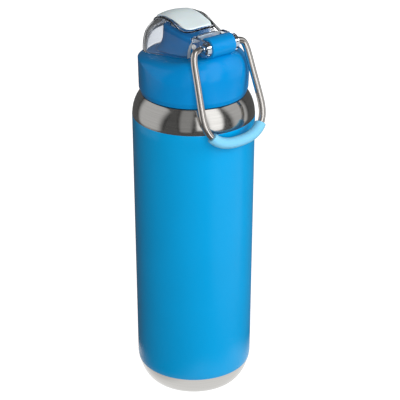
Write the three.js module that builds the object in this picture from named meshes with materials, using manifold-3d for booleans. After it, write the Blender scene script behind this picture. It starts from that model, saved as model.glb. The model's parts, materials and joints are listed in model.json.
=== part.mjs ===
// Insulated steel bottle with a screw lid, a clear flip hood over the spout and a bail handle.
// Millimetres, +Z up. The origin is the middle of the foot, the spout faces -Y and the
// hood and handle hinge runs along X above the back of the lid.
import * as THREE from 'three';
import { mergeVertices } from 'three/addons/utils/BufferGeometryUtils.js';
import Module from 'manifold-3d';

const wasm = await Module();
wasm.setup();

// ---------- driving dimensions ----------

const bodyRadius = 45;          // outside of the straight wall at its top
const wallTop = 219.6;          // where the straight wall ends and the shoulder starts
const bodyTaper = 1.35;         // how much the wall draws in from top to foot
const footRise = 17;            // height of the rounded foot
const footInset = 9.5;          // how far the foot draws in
const steel = 0.8;              // thickness of each steel wall
const vacuumGap = 2.8;          // space between the two walls
const floorRise = 9;            // underside of the inner vessel above the ground
const linerCorner = 14;         // corner radius round the inner vessel's floor
const linerDrop = 4;            // inner shoulder starts this far below the outer one
const footLip = 4;              // flat ring that the bottle stands on
const dimpleRadius = 12;        // raised middle of the base plate
const dimpleRise = 1.8;
const beadRadius = 2.6;         // glass bead that seals the vacuum hole
const getterRadius = 6;

const shoulderRound = 27;       // radius of the shoulder in section
const shoulderInset = 6.4;      // wall to the edge of the ledge under the lid
const neckStep = 7.2;           // width of that ledge
const neckHeight = 17;          // ledge to the top of the mouth
const lipThickness = 1.1;       // rolled lip round the mouth

const threadPitch = 4;          // rise of the screw thread in one turn
const threadDepth = 1.6;        // height of the neck's thread ridge
const threadTurns = 1.5;        // length of each ridge, in turns
const threadFoot = 5;           // ledge to the start of the neck's thread

const lidOverhang = 1.2;        // how far the lid stands out past the ledge
const lidLift = 0.5;            // gap between the ledge and the lid's lower edge
const lidChamfer = 3.5;         // height of the taper at the lid's lower edge
const lidFlare = 0.4;           // how much the lid widens towards its top
const lidWall = 2.2;            // side wall of the lid shell
const lidRoof = 2.4;            // roof of the lid shell
const deckRise = 14.5;          // top of the mouth to the middle of the lid's deck
const deckTilt = 0.14;          // rise of the deck per millimetre towards the back
const rimWidth = 10;            // how far the rounded rim reaches in over the deck
const rimDropFront = 2;         // height of the rounded rim at the front
const rimDropBack = 18;         // height of the rounded rim at the back
const sideFall = 7;             // how far the deck falls away at the back's two sides
const rimBlendFrom = -25;       // between these two places along Y the front's shape turns into
const rimBlendTo = 40;          // the back's

const skirtWall = 3.4;          // wall of the threaded liner inside the lid
const plateThickness = 2;       // its roof, above the mouth
const gasketThickness = 1.7;
const gasketWidth = 3.6;
const spoutSealThickness = 1.2; // ring under the foot of the spout's tube

const spoutLength = 37;         // front to back
const spoutHalfWidth = 13.2;    // at the rim
const spoutSetback = 12.4;      // behind the front of the hood
const spoutPeak = 20.2;         // front of the spout's rim above the deck below it
const spoutFall = 0.12;         // drop of the rim per millimetre towards the back
const spoutFlare = 4.5;         // how far the spout's foot spreads
const spoutWall = 2.3;          // wall of the tube that runs down into the lid
const boreRadius = 9;           // drinking bore
const boreSetback = 12.2;       // spout front to the middle of the bore

const hingeSetback = 10.8;      // rim of the lid to the hinge axis
const hingeRise = 6.9;          // hinge axis above the deck
const barrelRadius = 7.5;
const barrelHalf = 10.2;
const lugRadius = 6;
const lugThickness = 3.6;
const lugGap = 0.4;             // between the barrel and each lug
const boreDepth = 6.2;          // blind bore at each end of the barrel
const bushWall = 1;             // nylon bush that lines each bore
const detentRadius = 1.9;       // round head of each detent button on the hood's arms
const detentHead = 0.8;         // how far that head stands off its arm
const detentDepth = 2;          // how deep its stem is pressed in
const detentReach = 9.4;        // hinge axis to the detent button

const hoodWall = 2.4;           // clear wall of the hood
const hoodInset = 2.4;          // hood front behind the lid's rim
const hoodCornerHalf = 29.5;    // half width across the hood's front corners
const hoodBackHalf = 18.5;      // half width at its back edge
const hoodHeight = 26.3;        // crown above the deck, over the spout
const hoodFall = 0.345;         // how much nearer the deck the crown comes per millimetre towards the back
const hoodBackGap = 4.5;        // back edge of the hood in front of the barrel
const hoodSquareness = 2.9;     // 2 is round in section, more is squarer
const hoodLift = 0.5;           // gap between the hood and the deck
const browDepth = 3;            // solid bar across the hood's back edge, above the barrel
const padThickness = 0.9;
const padHalfWidth = 12;
const padFrontInset = 5;        // pad's front end behind the front of the hood
const padBackInset = 7.8;       // pad's back end in front of the hood's back edge
const padCorner = 5;            // corner radius of the pad

const stopperGap = 0.8;         // between the spout's bore and the soft plug in it
const stopperReach = 3.6;       // how deep it sits below the rim
const stopperSkin = 3;          // the plug's wall round the stem that carries it

const wireDiameter = 5;
const handleInset = 16.6;       // lid's radius to the middle of each leg
const handleSpread = 3.1;       // how much each leg moves out on its way down
const legLength = 46;           // hinge axis to the start of the bow
const bowDepth = 23;            // start of the bow to its lowest point
const bowSquareness = 2.48;     // 2 is an ellipse, more is squarer
const handleLean = 20;          // degrees that the hanging handle leans out
const elbowRadius = 5.5;
const sleeveDiameter = 8;
const sleeveStart = 0.3;        // share of the bow that is bare wire at each end

const clearance = 0.3;          // between pieces that touch
const runClearance = 0.35;      // round the hinge wire in its bores
const roundSegments = 40;       // sides of a full circle

// ---------- sizes worked out from them ----------

const smooth = (t) => {
  const x = Math.min(1, Math.max(0, t));
  return x * x * (3 - 2 * x);
};

// 0 at the front of the lid and 1 at its back.
const towardsBack = (y) => smooth((y - rimBlendFrom) / (rimBlendTo - rimBlendFrom));

const footRadius = bodyRadius - bodyTaper - footInset;
const ledgeRadius = bodyRadius - shoulderInset;
const neckRadius = ledgeRadius - neckStep;
const shoulderCentre = bodyRadius - shoulderRound;
const ledgeZ = wallTop + Math.sqrt(shoulderRound ** 2 - (ledgeRadius - shoulderCentre) ** 2);
const mouthZ = ledgeZ + neckHeight;
const linerNeck = neckRadius - steel - clearance;
const mouthRadius = linerNeck - steel;

const lidRadius = ledgeRadius + lidOverhang;
const lidBottom = ledgeZ + lidLift;
const gasketBottom = mouthZ + clearance;
const plateBottom = gasketBottom + gasketThickness + clearance;
const plateTop = plateBottom + plateThickness;
const skirtOuter = lidRadius - lidWall - clearance;
const skirtInner = skirtOuter - skirtWall - clearance;

const hingeY = lidRadius - hingeSetback;
const deckZ = (y, x = 0) => (
  mouthZ + deckRise + deckTilt * y - sideFall * (x / lidRadius) ** 2 * towardsBack(y)
);
const hingeZ = deckZ(hingeY) + hingeRise;
const lugInner = barrelHalf + lugGap;
const lugOuter = lugInner + lugThickness;
const wireRadius = wireDiameter / 2;
const barrelBore = wireRadius + runClearance + bushWall + clearance;
const tubeFoot = plateTop + spoutSealThickness + 2 * clearance;

const hoodFront = lidRadius - hoodInset;
const hoodBackY = hingeY - barrelRadius - hoodBackGap;
const hoodCornerY = -Math.sqrt(hoodFront ** 2 - hoodCornerHalf ** 2);
const spoutFrontY = -hoodFront + spoutSetback;
const spoutBackY = spoutFrontY + spoutLength;
const spoutRimZ = (y) => deckZ(spoutFrontY) + spoutPeak - spoutFall * (y - spoutFrontY);
const boreY = spoutFrontY + boreSetback;
const tubeRadius = boreRadius + spoutWall;
const stopperRadius = boreRadius - stopperGap;
const stopperStem = stopperRadius - stopperSkin;

const legTop = lidRadius - handleInset;
const legFoot = legTop + handleSpread;

// ---------- solids ----------

function solid(geometry) {
  geometry.deleteAttribute('normal');
  geometry.deleteAttribute('uv');
  const merged = mergeVertices(geometry);
  const triangles = [];
  for (let i = 0; i < merged.index.count; i += 3) {
    const [a, b, c] = [0, 1, 2].map((k) => merged.index.getX(i + k));
    if (a !== b && b !== c && c !== a) triangles.push(a, b, c);
  }
  const vertProperties = new Float32Array(merged.attributes.position.array);
  const triVerts = new Uint32Array(triangles);
  return new wasm.Manifold(new wasm.Mesh({ numProp: 3, vertProperties, triVerts }));
}

// A body turned round Z from [radius, height] points that run up the outside.
function turned(points, segments = roundSegments) {
  const profile = points.map(([r, z]) => new THREE.Vector2(r, z));
  return solid(new THREE.LatheGeometry(profile, segments).rotateX(Math.PI / 2));
}

// A closed ring or shell turned round Z: its section is closed on itself.
function turnedRing(points, segments = roundSegments) {
  return turned([...points, points[0]], segments);
}

// A closed skin of rings stacked from a point below to a point above. place(row, angle) gives
// [x, y, z]. Angle 0 faces the front and a quarter turn faces +X.
function stacked(rows, segments, place) {
  const profile = Array.from({ length: rows }, (_, row) => new THREE.Vector2(row % (rows - 1) ? 1 : 0, row));
  const geometry = new THREE.LatheGeometry(profile, segments);
  for (let step = 0; step <= segments; step++) {
    for (let row = 0; row < rows; row++) {
      const angle = (step % segments) * 2 * Math.PI / segments;
      geometry.attributes.position.setXYZ(step * rows + row, ...place(row, angle));
    }
  }
  return solid(geometry);
}

function rod(radius, length, segments = 32) {
  return solid(new THREE.CylinderGeometry(radius, radius, length, segments).rotateX(Math.PI / 2));
}

function rodAlongX(radius, from, to, y, z, segments = 32) {
  const geometry = new THREE.CylinderGeometry(radius, radius, to - from, segments).rotateZ(Math.PI / 2);
  return solid(geometry.translate((from + to) / 2, y, z));
}

function block(low, high) {
  const [a, b] = [new THREE.Vector3(...low), new THREE.Vector3(...high)];
  const size = b.clone().sub(a);
  const middle = a.clone().add(b).multiplyScalar(0.5);
  return solid(new THREE.BoxGeometry(size.x, size.y, size.z).translate(middle.x, middle.y, middle.z));
}

// A flat outline in the YZ plane, given thickness along X.
function slab(shape, from, to) {
  const options = { depth: to - from, bevelEnabled: false, curveSegments: 10 };
  const geometry = new THREE.ExtrudeGeometry(shape, options);
  const axes = [new THREE.Vector3(0, 1, 0), new THREE.Vector3(0, 0, 1), new THREE.Vector3(1, 0, 0)];
  return solid(geometry.applyMatrix4(new THREE.Matrix4().makeBasis(...axes)).translate(from, 0, 0));
}

// A round bar swept along a curve.
function swept(radius, curve, steps, sides) {
  const section = new THREE.Shape().absarc(0, 0, radius, 0, 2 * Math.PI);
  const options = { steps, extrudePath: curve, bevelEnabled: false, curveSegments: sides };
  return solid(new THREE.ExtrudeGeometry(section, options));
}

function quarter(count, place) {
  return Array.from({ length: count + 1 }, (_, i) => place(i / count * Math.PI / 2));
}

// ---------- steel bottle ----------

// Section of the bottle's wall, moved in from the outside face by inset.
function wallSection(inset) {
  const foot = quarter(5, (a) => [
    footRadius + (footInset - inset) * Math.sin(a),
    footRise - (footRise - inset) * Math.cos(a),
  ]);
  const reach = shoulderRound - inset;
  const end = Math.acos((ledgeRadius - inset / 2 - shoulderCentre) / reach);
  const shoulder = Array.from({ length: 6 }, (_, i) => i / 5 * end).map((a) => [
    shoulderCentre + reach * Math.cos(a),
    wallTop + reach * Math.sin(a),
  ]);
  return [...foot, ...shoulder];
}

// A ridge bent round Z as a screw thread, from its root radius to its crest radius.
function thread(root, crest, startZ) {
  const stepsPerTurn = 24;
  const steps = threadTurns * stepsPerTurn;
  const fade = 3;
  const geometry = new THREE.BoxGeometry(steps, 1, 1, steps, 1, 1);
  const at = geometry.attributes.position;
  const halfRoot = 0.8;
  const halfCrest = 0.4;
  for (let i = 0; i < at.count; i++) {
    const step = Math.round(at.getX(i) + steps / 2);
    const angle = step / stepsPerTurn * 2 * Math.PI;
    const full = Math.min(1, (Math.min(step, steps - step) + 0.6) / fade);
    const onCrest = at.getZ(i) > 0;
    const radius = onCrest ? root + (crest - root) * full : root;
    const half = onCrest ? halfCrest : halfRoot;
    const z = startZ + threadPitch * angle / (2 * Math.PI) + (at.getY(i) > 0 ? half : -half);
    at.setXYZ(i, radius * Math.sin(angle), -radius * Math.cos(angle), z);
  }
  if (crest < root) geometry.index.array.reverse();
  return solid(geometry);
}

function outerShell() {
  const outside = wallSection(0);
  const inside = wallSection(steel).reverse();
  const neckTop = mouthZ - lipThickness - clearance;
  const wall = turnedRing([
    [footRadius - footLip, 0],
    ...outside,
    [neckRadius, ledgeZ],
    [neckRadius, neckTop],
    [neckRadius - steel, neckTop],
    [neckRadius - steel, ledgeZ - steel],
    ...inside,
    [footRadius - footLip, steel],
  ]);
  return wall.add(thread(neckRadius - steel / 2, neckRadius + threadDepth, ledgeZ + threadFoot));
}

function innerLiner() {
  const side = steel + vacuumGap;
  const section = (inset) => {
    const low = floorRise + inset;
    const radius = bodyRadius - bodyTaper - side - inset;
    const foot = quarter(3, (a) => [
      radius - linerCorner * (1 - Math.sin(a)),
      low + linerCorner * (1 - Math.cos(a)),
    ]);
    const reach = shoulderRound - side - inset;
    const end = Math.acos((linerNeck - inset - shoulderCentre) / reach);
    const shoulder = Array.from({ length: 6 }, (_, i) => i / 5 * end).map((a) => [
      shoulderCentre + reach * Math.cos(a),
      wallTop - linerDrop + reach * Math.sin(a),
    ]);
    return [...foot, ...shoulder];
  };
  return turned([
    [0, floorRise],
    ...section(0),
    [linerNeck, mouthZ - lipThickness],
    [neckRadius, mouthZ - lipThickness],
    [neckRadius, mouthZ],
    [mouthRadius, mouthZ],
    ...section(steel).reverse(),
    [0, floorRise + steel],
  ]);
}

const capZ = steel + clearance;
const capRadius = footRadius - clearance;
const sealHole = 1;

function baseCap() {
  const plate = turned([
    [0, capZ + dimpleRise],
    [dimpleRadius - 1, capZ + dimpleRise],
    [dimpleRadius, capZ],
    [capRadius, capZ],
    [capRadius, capZ + steel],
    [dimpleRadius + 0.3, capZ + steel],
    [dimpleRadius - 0.7, capZ + dimpleRise + steel],
    [0, capZ + dimpleRise + steel],
  ]);
  return plate.subtract(rod(sealHole, 20, 16));
}

function sealBead() {
  const top = capZ + dimpleRise - clearance;
  const depth = 1.2;
  const dome = quarter(4, (a) => [beadRadius * Math.sin(a), top - depth * Math.cos(a)]);
  return turned([...dome, [0, top]], 24);
}

function getterPill() {
  const low = capZ + dimpleRise + steel + clearance;
  const edge = 0.4;
  const height = 1.6;
  return turned([
    [0, low],
    [getterRadius - edge, low],
    [getterRadius, low + edge],
    [getterRadius, low + height],
    [0, low + height],
  ], 24);
}

// ---------- lid ----------

// Height of the rounded rim below the deck, small at the front and tall at the back.
const rimDrop = (y) => rimDropFront + (rimDropBack - rimDropFront) * towardsBack(y);

// The lid's outside, or its hollow when it is moved in by side and down by roof.
function lidForm(side, roof, bottom) {
  const rimRows = 5;
  const deckRows = 2;
  const rows = 5 + rimRows + deckRows;
  const radius = lidRadius - side;
  const crest = radius + lidFlare;
  return stacked(rows, roundSegments, (row, angle) => {
    const at = (r, height) => {
      const [x, y] = [r * Math.sin(angle), -r * Math.cos(angle)];
      return [x, y, height(x, y)];
    };
    if (row === 0) return [0, 0, bottom];
    if (row === 1) return at(radius - lidOverhang, () => bottom);
    if (row === 2) return at(radius, () => lidBottom + lidChamfer);
    if (row > 3 + rimRows) {
      const inward = (rows - 1 - row) / (deckRows + 1);
      return at((crest - rimWidth) * inward, (x, y) => deckZ(y, x) - roof);
    }
    const turn = (row - 3) / rimRows * Math.PI / 2;
    const height = (x, y) => deckZ(y, x) - roof - rimDrop(y) * (1 - Math.sin(turn));
    return at(crest - rimWidth * (1 - Math.cos(turn)), height);
  });
}

function lidShell() {
  const hollow = lidForm(lidWall, lidRoof, lidBottom - 1);
  const barrel = rodAlongX(barrelRadius, -barrelHalf, barrelHalf, hingeY, hingeZ, 40);
  const leftBore = rodAlongX(barrelBore, -barrelHalf - 1, -barrelHalf + boreDepth, hingeY, hingeZ, 24);
  const rightBore = rodAlongX(barrelBore, barrelHalf - boreDepth, barrelHalf + 1, hingeY, hingeZ, 24);
  const tubeHole = rod(tubeRadius + clearance, 60, 32).translate([0, boreY, deckZ(0)]);
  const shell = lidForm(0, 0, lidBottom).subtract(hollow).subtract(tubeHole);
  return shell.add(barrel).subtract(leftBore).subtract(rightBore);
}

function lidLiner() {
  const skirtFoot = lidBottom + 1;
  const body = turned([
    [0, plateBottom],
    [skirtInner, plateBottom],
    [skirtInner, skirtFoot],
    [skirtOuter - lidOverhang, skirtFoot],
    [skirtOuter, lidBottom + lidChamfer + 1],
    [skirtOuter, plateTop],
    [0, plateTop],
  ]);
  const ridge = thread(skirtInner + 0.5, neckRadius + 0.6, ledgeZ + threadFoot - threadPitch / 2);
  const space = lidForm(lidWall + clearance, lidRoof + clearance, lidBottom - 1);
  const drinkHole = rod(boreRadius + 0.4, 30, 32).translate([0, boreY, plateTop]);
  return body.intersect(space).add(ridge).subtract(drinkHole);
}

function lidGasket() {
  const outer = neckRadius + 1;
  return turnedRing([
    [outer - gasketWidth, gasketBottom],
    [outer, gasketBottom],
    [outer, gasketBottom + gasketThickness],
    [outer - gasketWidth, gasketBottom + gasketThickness],
  ]);
}

function lidInsulation() {
  const low = plateTop + clearance;
  const space = lidForm(lidWall + clearance, lidRoof + clearance, lidBottom - 1);
  const below = block([-90, -90, 0], [90, 90, low]);
  return space.subtract(below).subtract(rod(tubeRadius + clearance, 60, 32).translate([0, boreY, low]));
}

// ---------- spout ----------

// A rounded outline round the middle of the spout, grown by grow on every side.
function spoutOutline(angle, grow) {
  const halfLength = spoutLength / 2 + grow;
  const halfWidth = spoutHalfWidth + grow;
  const power = 3.2;
  const [s, c] = [Math.abs(Math.sin(angle)) / halfWidth, Math.abs(Math.cos(angle)) / halfLength];
  return (s ** power + c ** power) ** (-1 / power);
}

function spout() {
  const middle = (spoutFrontY + spoutBackY) / 2;
  // Share of the height and share of the flare at each level, from the foot up.
  const foot = [[0, 1], [0.04, 0.8], [0.12, 0.5], [0.22, 0.26], [0.36, 0.12], [0.6, 0.05]];
  const levels = [...foot, [0.93, 0], [1, -0.25]];
  const rows = levels.length + 2;
  const form = stacked(rows, 40, (row, angle) => {
    if (row === 0) return [0, middle, deckZ(middle) + clearance];
    if (row === rows - 1) return [0, middle, spoutRimZ(middle)];
    const [rise, spread] = levels[row - 1];
    const reach = spoutOutline(angle, spoutFlare * spread);
    const y = middle - reach * Math.cos(angle);
    const x = reach * Math.sin(angle);
    const low = deckZ(y, x) + clearance;
    return [x, y, low + (spoutRimZ(y) - low) * rise];
  });
  const tubeHead = deckZ(boreY) + 4;
  const tube = rod(tubeRadius, tubeHead - tubeFoot, 32).translate([0, boreY, (tubeHead + tubeFoot) / 2]);
  const bore = rod(boreRadius, 90, 32).translate([0, boreY, tubeHead]);
  return form.add(tube).subtract(bore);
}

function spoutSeal() {
  const low = plateTop + clearance;
  return turnedRing([
    [boreRadius + 0.5, low],
    [tubeRadius - 0.2, low],
    [tubeRadius - 0.2, low + spoutSealThickness],
    [boreRadius + 0.5, low + spoutSealThickness],
  ], 32).translate([0, boreY, 0]);
}

// ---------- hood ----------

// Distance from the hood's middle to its edge seen from above, moved out by grow.
const hoodMiddle = 4;
function hoodOutline(angle, grow) {
  const [dx, dy] = [Math.abs(Math.sin(angle)), -Math.cos(angle)];
  const radius = hoodFront + grow;
  const alongFront = -hoodMiddle * dy + Math.sqrt(radius ** 2 - (hoodMiddle * dx) ** 2);
  const side = new THREE.Vector2(hoodBackY - hoodCornerY, hoodCornerHalf - hoodBackHalf).normalize();
  const sideReach = side.x * hoodCornerHalf + side.y * (hoodCornerY - hoodMiddle) + grow;
  const alongSide = sideReach / Math.max(1e-6, side.x * dx + side.y * dy);
  const backReach = 60;
  const alongBack = dy > 0 ? backReach / dy : 1e6;
  const sharpness = 10;
  const lengths = [alongFront, alongSide > 0 ? alongSide : 1e6, alongBack];
  return lengths.reduce((sum, length) => sum + length ** -sharpness, 0) ** (-1 / sharpness);
}

// The hood as a full dome over the deck. grow moves its face out, sink carries its foot down.
function hoodForm(grow, sink) {
  const domeRows = 8;
  const rows = domeRows + 4;
  const topZ = (y) => deckZ(y) + hoodLift + hoodHeight - hoodFall * (y + hoodFront / 2) + grow;
  return stacked(rows, roundSegments, (row, angle) => {
    if (row === 0) return [0, hoodMiddle, deckZ(hoodMiddle) + hoodLift - sink];
    if (row === rows - 1) return [0, hoodMiddle, topZ(hoodMiddle)];
    const turn = Math.max(0, row - 2) / domeRows * 0.97 * Math.PI / 2;
    const rise = Math.sin(turn) ** (2 / hoodSquareness);
    const reach = hoodOutline(angle, grow) * Math.cos(turn) ** (2 / hoodSquareness);
    const [x, y] = [reach * Math.sin(angle), hoodMiddle - reach * Math.cos(angle)];
    const low = deckZ(y, x) + hoodLift;
    return [x, y, row === 1 ? low - sink : low + (topZ(y) - low) * rise];
  });
}

// The two arms that run back from the hood to the hinge, with the hole for the handle's wire.
function hoodArms() {
  const rootDepth = 4;
  const arm = new THREE.Shape();
  arm.moveTo(hoodBackY - rootDepth, hingeZ + lugRadius / 3);
  arm.lineTo(hoodBackY + 1, hingeZ - lugRadius * 2 / 3);
  arm.lineTo(hingeY - lugRadius / 3, hingeZ - lugRadius * 0.94);
  arm.absarc(hingeY, hingeZ, lugRadius, -0.6 * Math.PI, Math.PI / 2, false);
  arm.lineTo(hoodBackY - 1, hingeZ + lugRadius * 0.87);
  const hole = rodAlongX(wireRadius + runClearance, -lugOuter - 1, lugOuter + 1, hingeY, hingeZ, 24);
  return slab(arm, lugInner, lugOuter).add(slab(arm, -lugOuter, -lugInner)).subtract(hole);
}

function hoodShell() {
  const far = 500;
  const dome = hoodForm(0, 0.01);
  const behind = block([-far, hoodBackY, 0], [far, far, far]);
  const ahead = block([-far, -far, 0], [far, hoodBackY, far]);
  const browLow = [-lugInner - 1, hoodBackY - browDepth, hingeZ + 1];
  const brow = dome.intersect(block(browLow, [lugInner + 1, hoodBackY, far]));
  const arms = hoodArms();
  const armRoots = arms.intersect(dome).subtract(behind);
  const shell = dome.subtract(hoodForm(-hoodWall, 6)).subtract(behind);
  const whole = shell.add(arms.subtract(ahead)).add(armRoots).add(brow);
  return whole.subtract(hoodDetent(1, clearance)).subtract(hoodDetent(-1, clearance));
}

// Button pressed into the outside of each hood arm, in front of the hinge.
const detentY = hingeY - detentReach;
const detentZ = hingeZ - lugRadius / 10;
const detentStem = detentRadius - 0.8;

function hoodDetent(side, grow = 0) {
  const onSide = (from, to) => [side * from, side * to].sort((p, q) => p - q);
  const [low, high] = onSide(lugOuter - detentDepth, lugOuter + clearance);
  const [inner, outer] = onSide(lugOuter + clearance, lugOuter + clearance + detentHead);
  const stem = rodAlongX(detentStem + grow, low - grow, high + grow, detentY, detentZ, 20);
  return stem.add(rodAlongX(detentRadius, inner, outer, detentY, detentZ, 24));
}

function hoodPad() {
  const front = -hoodFront + padFrontInset;
  const back = hoodBackY - padBackInset;
  const outline = new THREE.Shape();
  outline.moveTo(-padHalfWidth, front + padCorner);
  outline.absarc(-padHalfWidth + padCorner, front + padCorner, padCorner, Math.PI, 1.5 * Math.PI);
  outline.absarc(padHalfWidth - padCorner, front + padCorner, padCorner, 1.5 * Math.PI, 2 * Math.PI);
  outline.absarc(padHalfWidth - padCorner, back - padCorner, padCorner, 0, 0.5 * Math.PI);
  outline.absarc(-padHalfWidth + padCorner, back - padCorner, padCorner, 0.5 * Math.PI, Math.PI);
  const prism = new THREE.ExtrudeGeometry(outline, { depth: 90, bevelEnabled: false, curveSegments: 5 });
  const skin = hoodForm(clearance + padThickness, 0.01).subtract(hoodForm(clearance, 4));
  return skin.intersect(solid(prism.translate(0, 0, deckZ(0))));
}

const sealLow = spoutRimZ(boreY) - stopperReach;
const stemLow = sealLow + 1.2;

function stopperStemSolid() {
  const post = rod(stopperStem, 60, 24).translate([0, boreY, stemLow + 30]);
  return post.intersect(hoodForm(-hoodWall - clearance, 4));
}

function stopperSeal() {
  const rimGap = 0.6;
  const top = spoutRimZ(boreY) + rimGap;
  const pocket = stopperStem + clearance;
  return turned([
    [0, sealLow],
    [stopperRadius - 1.4, sealLow],
    [stopperRadius - 0.6, sealLow + 0.8],
    [stopperRadius, sealLow + 2],
    [stopperRadius, top],
    [pocket, top],
    [pocket, stemLow - clearance],
    [0, stemLow - clearance],
  ], 32).translate([0, boreY, 0]);
}

// ---------- handle ----------

const lean = handleLean * Math.PI / 180;
const hang = (x, down) => (
  new THREE.Vector3(x, hingeY + down * Math.sin(lean), hingeZ - down * Math.cos(lean))
);

// One side of the bow: share 0 is the end of the leg and share 1 the lowest point.
function bowPoint(side, share) {
  const angle = share * Math.PI / 2;
  const out = Math.cos(angle) ** (2 / bowSquareness);
  const down = Math.sin(angle) ** (2 / bowSquareness);
  return hang(side * legFoot * out, legLength + bowDepth * down);
}

const wireEnd = barrelHalf - boreDepth + 2 * clearance;
const bowShares = [0.06, 0.14, 0.22, 0.32, 0.42, 0.54, 0.66, 0.78, 0.9];

function handleRoute() {
  const half = (side) => [
    new THREE.Vector3(side * wireEnd, hingeY, hingeZ),
    new THREE.Vector3(side * (legTop - elbowRadius), hingeY, hingeZ),
    hang(side * (legTop - 0.3 * elbowRadius), 0.3 * elbowRadius),
    hang(side * legTop, elbowRadius),
    hang(side * (legTop + legFoot) / 2, legLength / 2),
    hang(side * legFoot, legLength),
    ...bowShares.map((share) => bowPoint(side, share)),
  ];
  return [...half(-1), bowPoint(1, 1), ...half(1).reverse()];
}

const handleCurve = () => new THREE.CatmullRomCurve3(handleRoute(), false, 'centripetal');

function handleWire() {
  return swept(wireRadius, handleCurve(), 48, 4);
}

function handleSleeve() {
  const covered = bowShares.filter((share) => share > sleeveStart);
  const half = (side) => covered.map((share) => bowPoint(side, share));
  const route = [...half(-1), bowPoint(1, 1), ...half(1).reverse()];
  const curve = new THREE.CatmullRomCurve3(route, false, 'centripetal');
  const tube = swept(sleeveDiameter / 2, curve, 18, 4);
  return tube.subtract(swept(wireRadius + clearance, handleCurve(), 48, 4));
}

// Nylon bush that lines one bore of the barrel, where the wire's end turns.
function hingeBush(side) {
  const [low, high] = [side * (barrelHalf - boreDepth + clearance), side * barrelHalf].sort((p, q) => p - q);
  const outside = rodAlongX(wireRadius + runClearance + bushWall, low, high, hingeY, hingeZ, 24);
  return outside.subtract(rodAlongX(wireRadius + runClearance, low - 1, high + 1, hingeY, hingeZ, 24));
}

// ---------- assembly ----------

const finish = (color, roughness, metalness, extra = {}) => (
  new THREE.MeshStandardMaterial({ color, roughness, metalness, ...extra })
);
const bluePaint = finish(0x1b8fd6, 0.4, 0.1);
const bareSteel = finish(0xb9b9b6, 0.32, 1);
const polishedSteel = finish(0xcfccc6, 0.18, 1);
const bluePlastic = finish(0x1590dc, 0.3, 0);
const clearPlastic = finish(0xe6eef2, 0.06, 0, { transparent: true, opacity: 0.35 });
const frostedPlastic = finish(0xcbd8da, 0.55, 0);
const whitePlastic = finish(0xe6e8e8, 0.5, 0);
const paleSilicone = finish(0x8fd6fa, 0.55, 0);
const greySilicone = finish(0xd5d9db, 0.6, 0);
const nylon = finish(0x2b2c2e, 0.5, 0);
const foam = finish(0xefe9d8, 0.9, 0);
const getterMetal = finish(0x8d8a84, 0.6, 0.8);
const sealGlass = finish(0x3b4a44, 0.2, 0);

function node(name, body, material) {
  const { numProp, vertProperties, triVerts } = body.getMesh();
  const geometry = new THREE.BufferGeometry();
  const points = new Float32Array(vertProperties.length / numProp * 3);
  for (let i = 0; i < points.length / 3; i++) {
    points.set(vertProperties.subarray(i * numProp, i * numProp + 3), i * 3);
  }
  geometry.setAttribute('position', new THREE.BufferAttribute(points, 3));
  geometry.setIndex(new THREE.BufferAttribute(new Uint32Array(triVerts), 1));
  geometry.computeVertexNormals();
  const mesh = new THREE.Mesh(geometry, material);
  mesh.name = name;
  return mesh;
}

const bottle = new THREE.Group().add(
  node('outer_shell', outerShell(), bluePaint),
  node('inner_liner', innerLiner(), bareSteel),
  node('base_cap', baseCap(), bareSteel),
  node('vacuum_seal_bead', sealBead(), sealGlass),
  node('vacuum_getter', getterPill(), getterMetal),
);

const lid = new THREE.Group().add(
  node('lid_shell', lidShell(), bluePlastic),
  node('lid_threaded_liner', lidLiner(), whitePlastic),
  node('lid_insulation', lidInsulation(), foam),
  node('lid_gasket', lidGasket(), greySilicone),
  node('spout', spout(), bluePlastic),
  node('spout_seal', spoutSeal(), greySilicone),
  node('hinge_bush_left', hingeBush(-1), nylon),
  node('hinge_bush_right', hingeBush(1), nylon),
);

const hood = new THREE.Group().add(
  node('hood_shell', hoodShell(), clearPlastic),
  node('hood_pad', hoodPad(), frostedPlastic),
  node('stopper_stem', stopperStemSolid(), clearPlastic),
  node('stopper_seal', stopperSeal(), greySilicone),
  node('hood_detent_left', hoodDetent(-1), clearPlastic),
  node('hood_detent_right', hoodDetent(1), clearPlastic),
);

const handle = new THREE.Group().add(
  node('handle_wire', handleWire(), polishedSteel),
  node('handle_sleeve', handleSleeve(), paleSilicone),
);

export default new THREE.Group().add(bottle, lid, hood, handle);
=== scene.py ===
import json
import math

import bmesh
import bpy
from mathutils import Matrix, Vector


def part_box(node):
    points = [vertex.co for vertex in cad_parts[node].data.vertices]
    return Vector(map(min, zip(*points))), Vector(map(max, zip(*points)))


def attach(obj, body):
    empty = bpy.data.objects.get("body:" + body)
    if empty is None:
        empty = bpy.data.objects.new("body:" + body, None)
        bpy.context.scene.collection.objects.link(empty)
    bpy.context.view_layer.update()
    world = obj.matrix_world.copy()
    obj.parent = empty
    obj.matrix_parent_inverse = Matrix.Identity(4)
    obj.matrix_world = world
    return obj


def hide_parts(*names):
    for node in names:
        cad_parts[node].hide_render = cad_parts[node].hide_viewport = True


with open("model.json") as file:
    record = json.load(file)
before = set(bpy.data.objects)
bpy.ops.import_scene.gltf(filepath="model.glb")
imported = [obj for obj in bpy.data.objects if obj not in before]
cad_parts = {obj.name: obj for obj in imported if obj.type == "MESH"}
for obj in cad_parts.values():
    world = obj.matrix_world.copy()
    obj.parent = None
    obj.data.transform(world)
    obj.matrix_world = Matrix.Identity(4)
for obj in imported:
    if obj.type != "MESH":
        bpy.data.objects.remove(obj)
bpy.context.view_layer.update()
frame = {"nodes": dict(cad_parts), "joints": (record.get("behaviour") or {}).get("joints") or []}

bl_info = {
    "name": "Insulated Bottle",
    "version": (1, 0, 0),
    "blender": (4, 5, 0),
    "location": "3D View > Sidebar > Bottle",
    "description": "Builds the finished surfaces of a steel bottle with a flip hood and a bail handle",
    "category": "Object",
}

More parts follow.
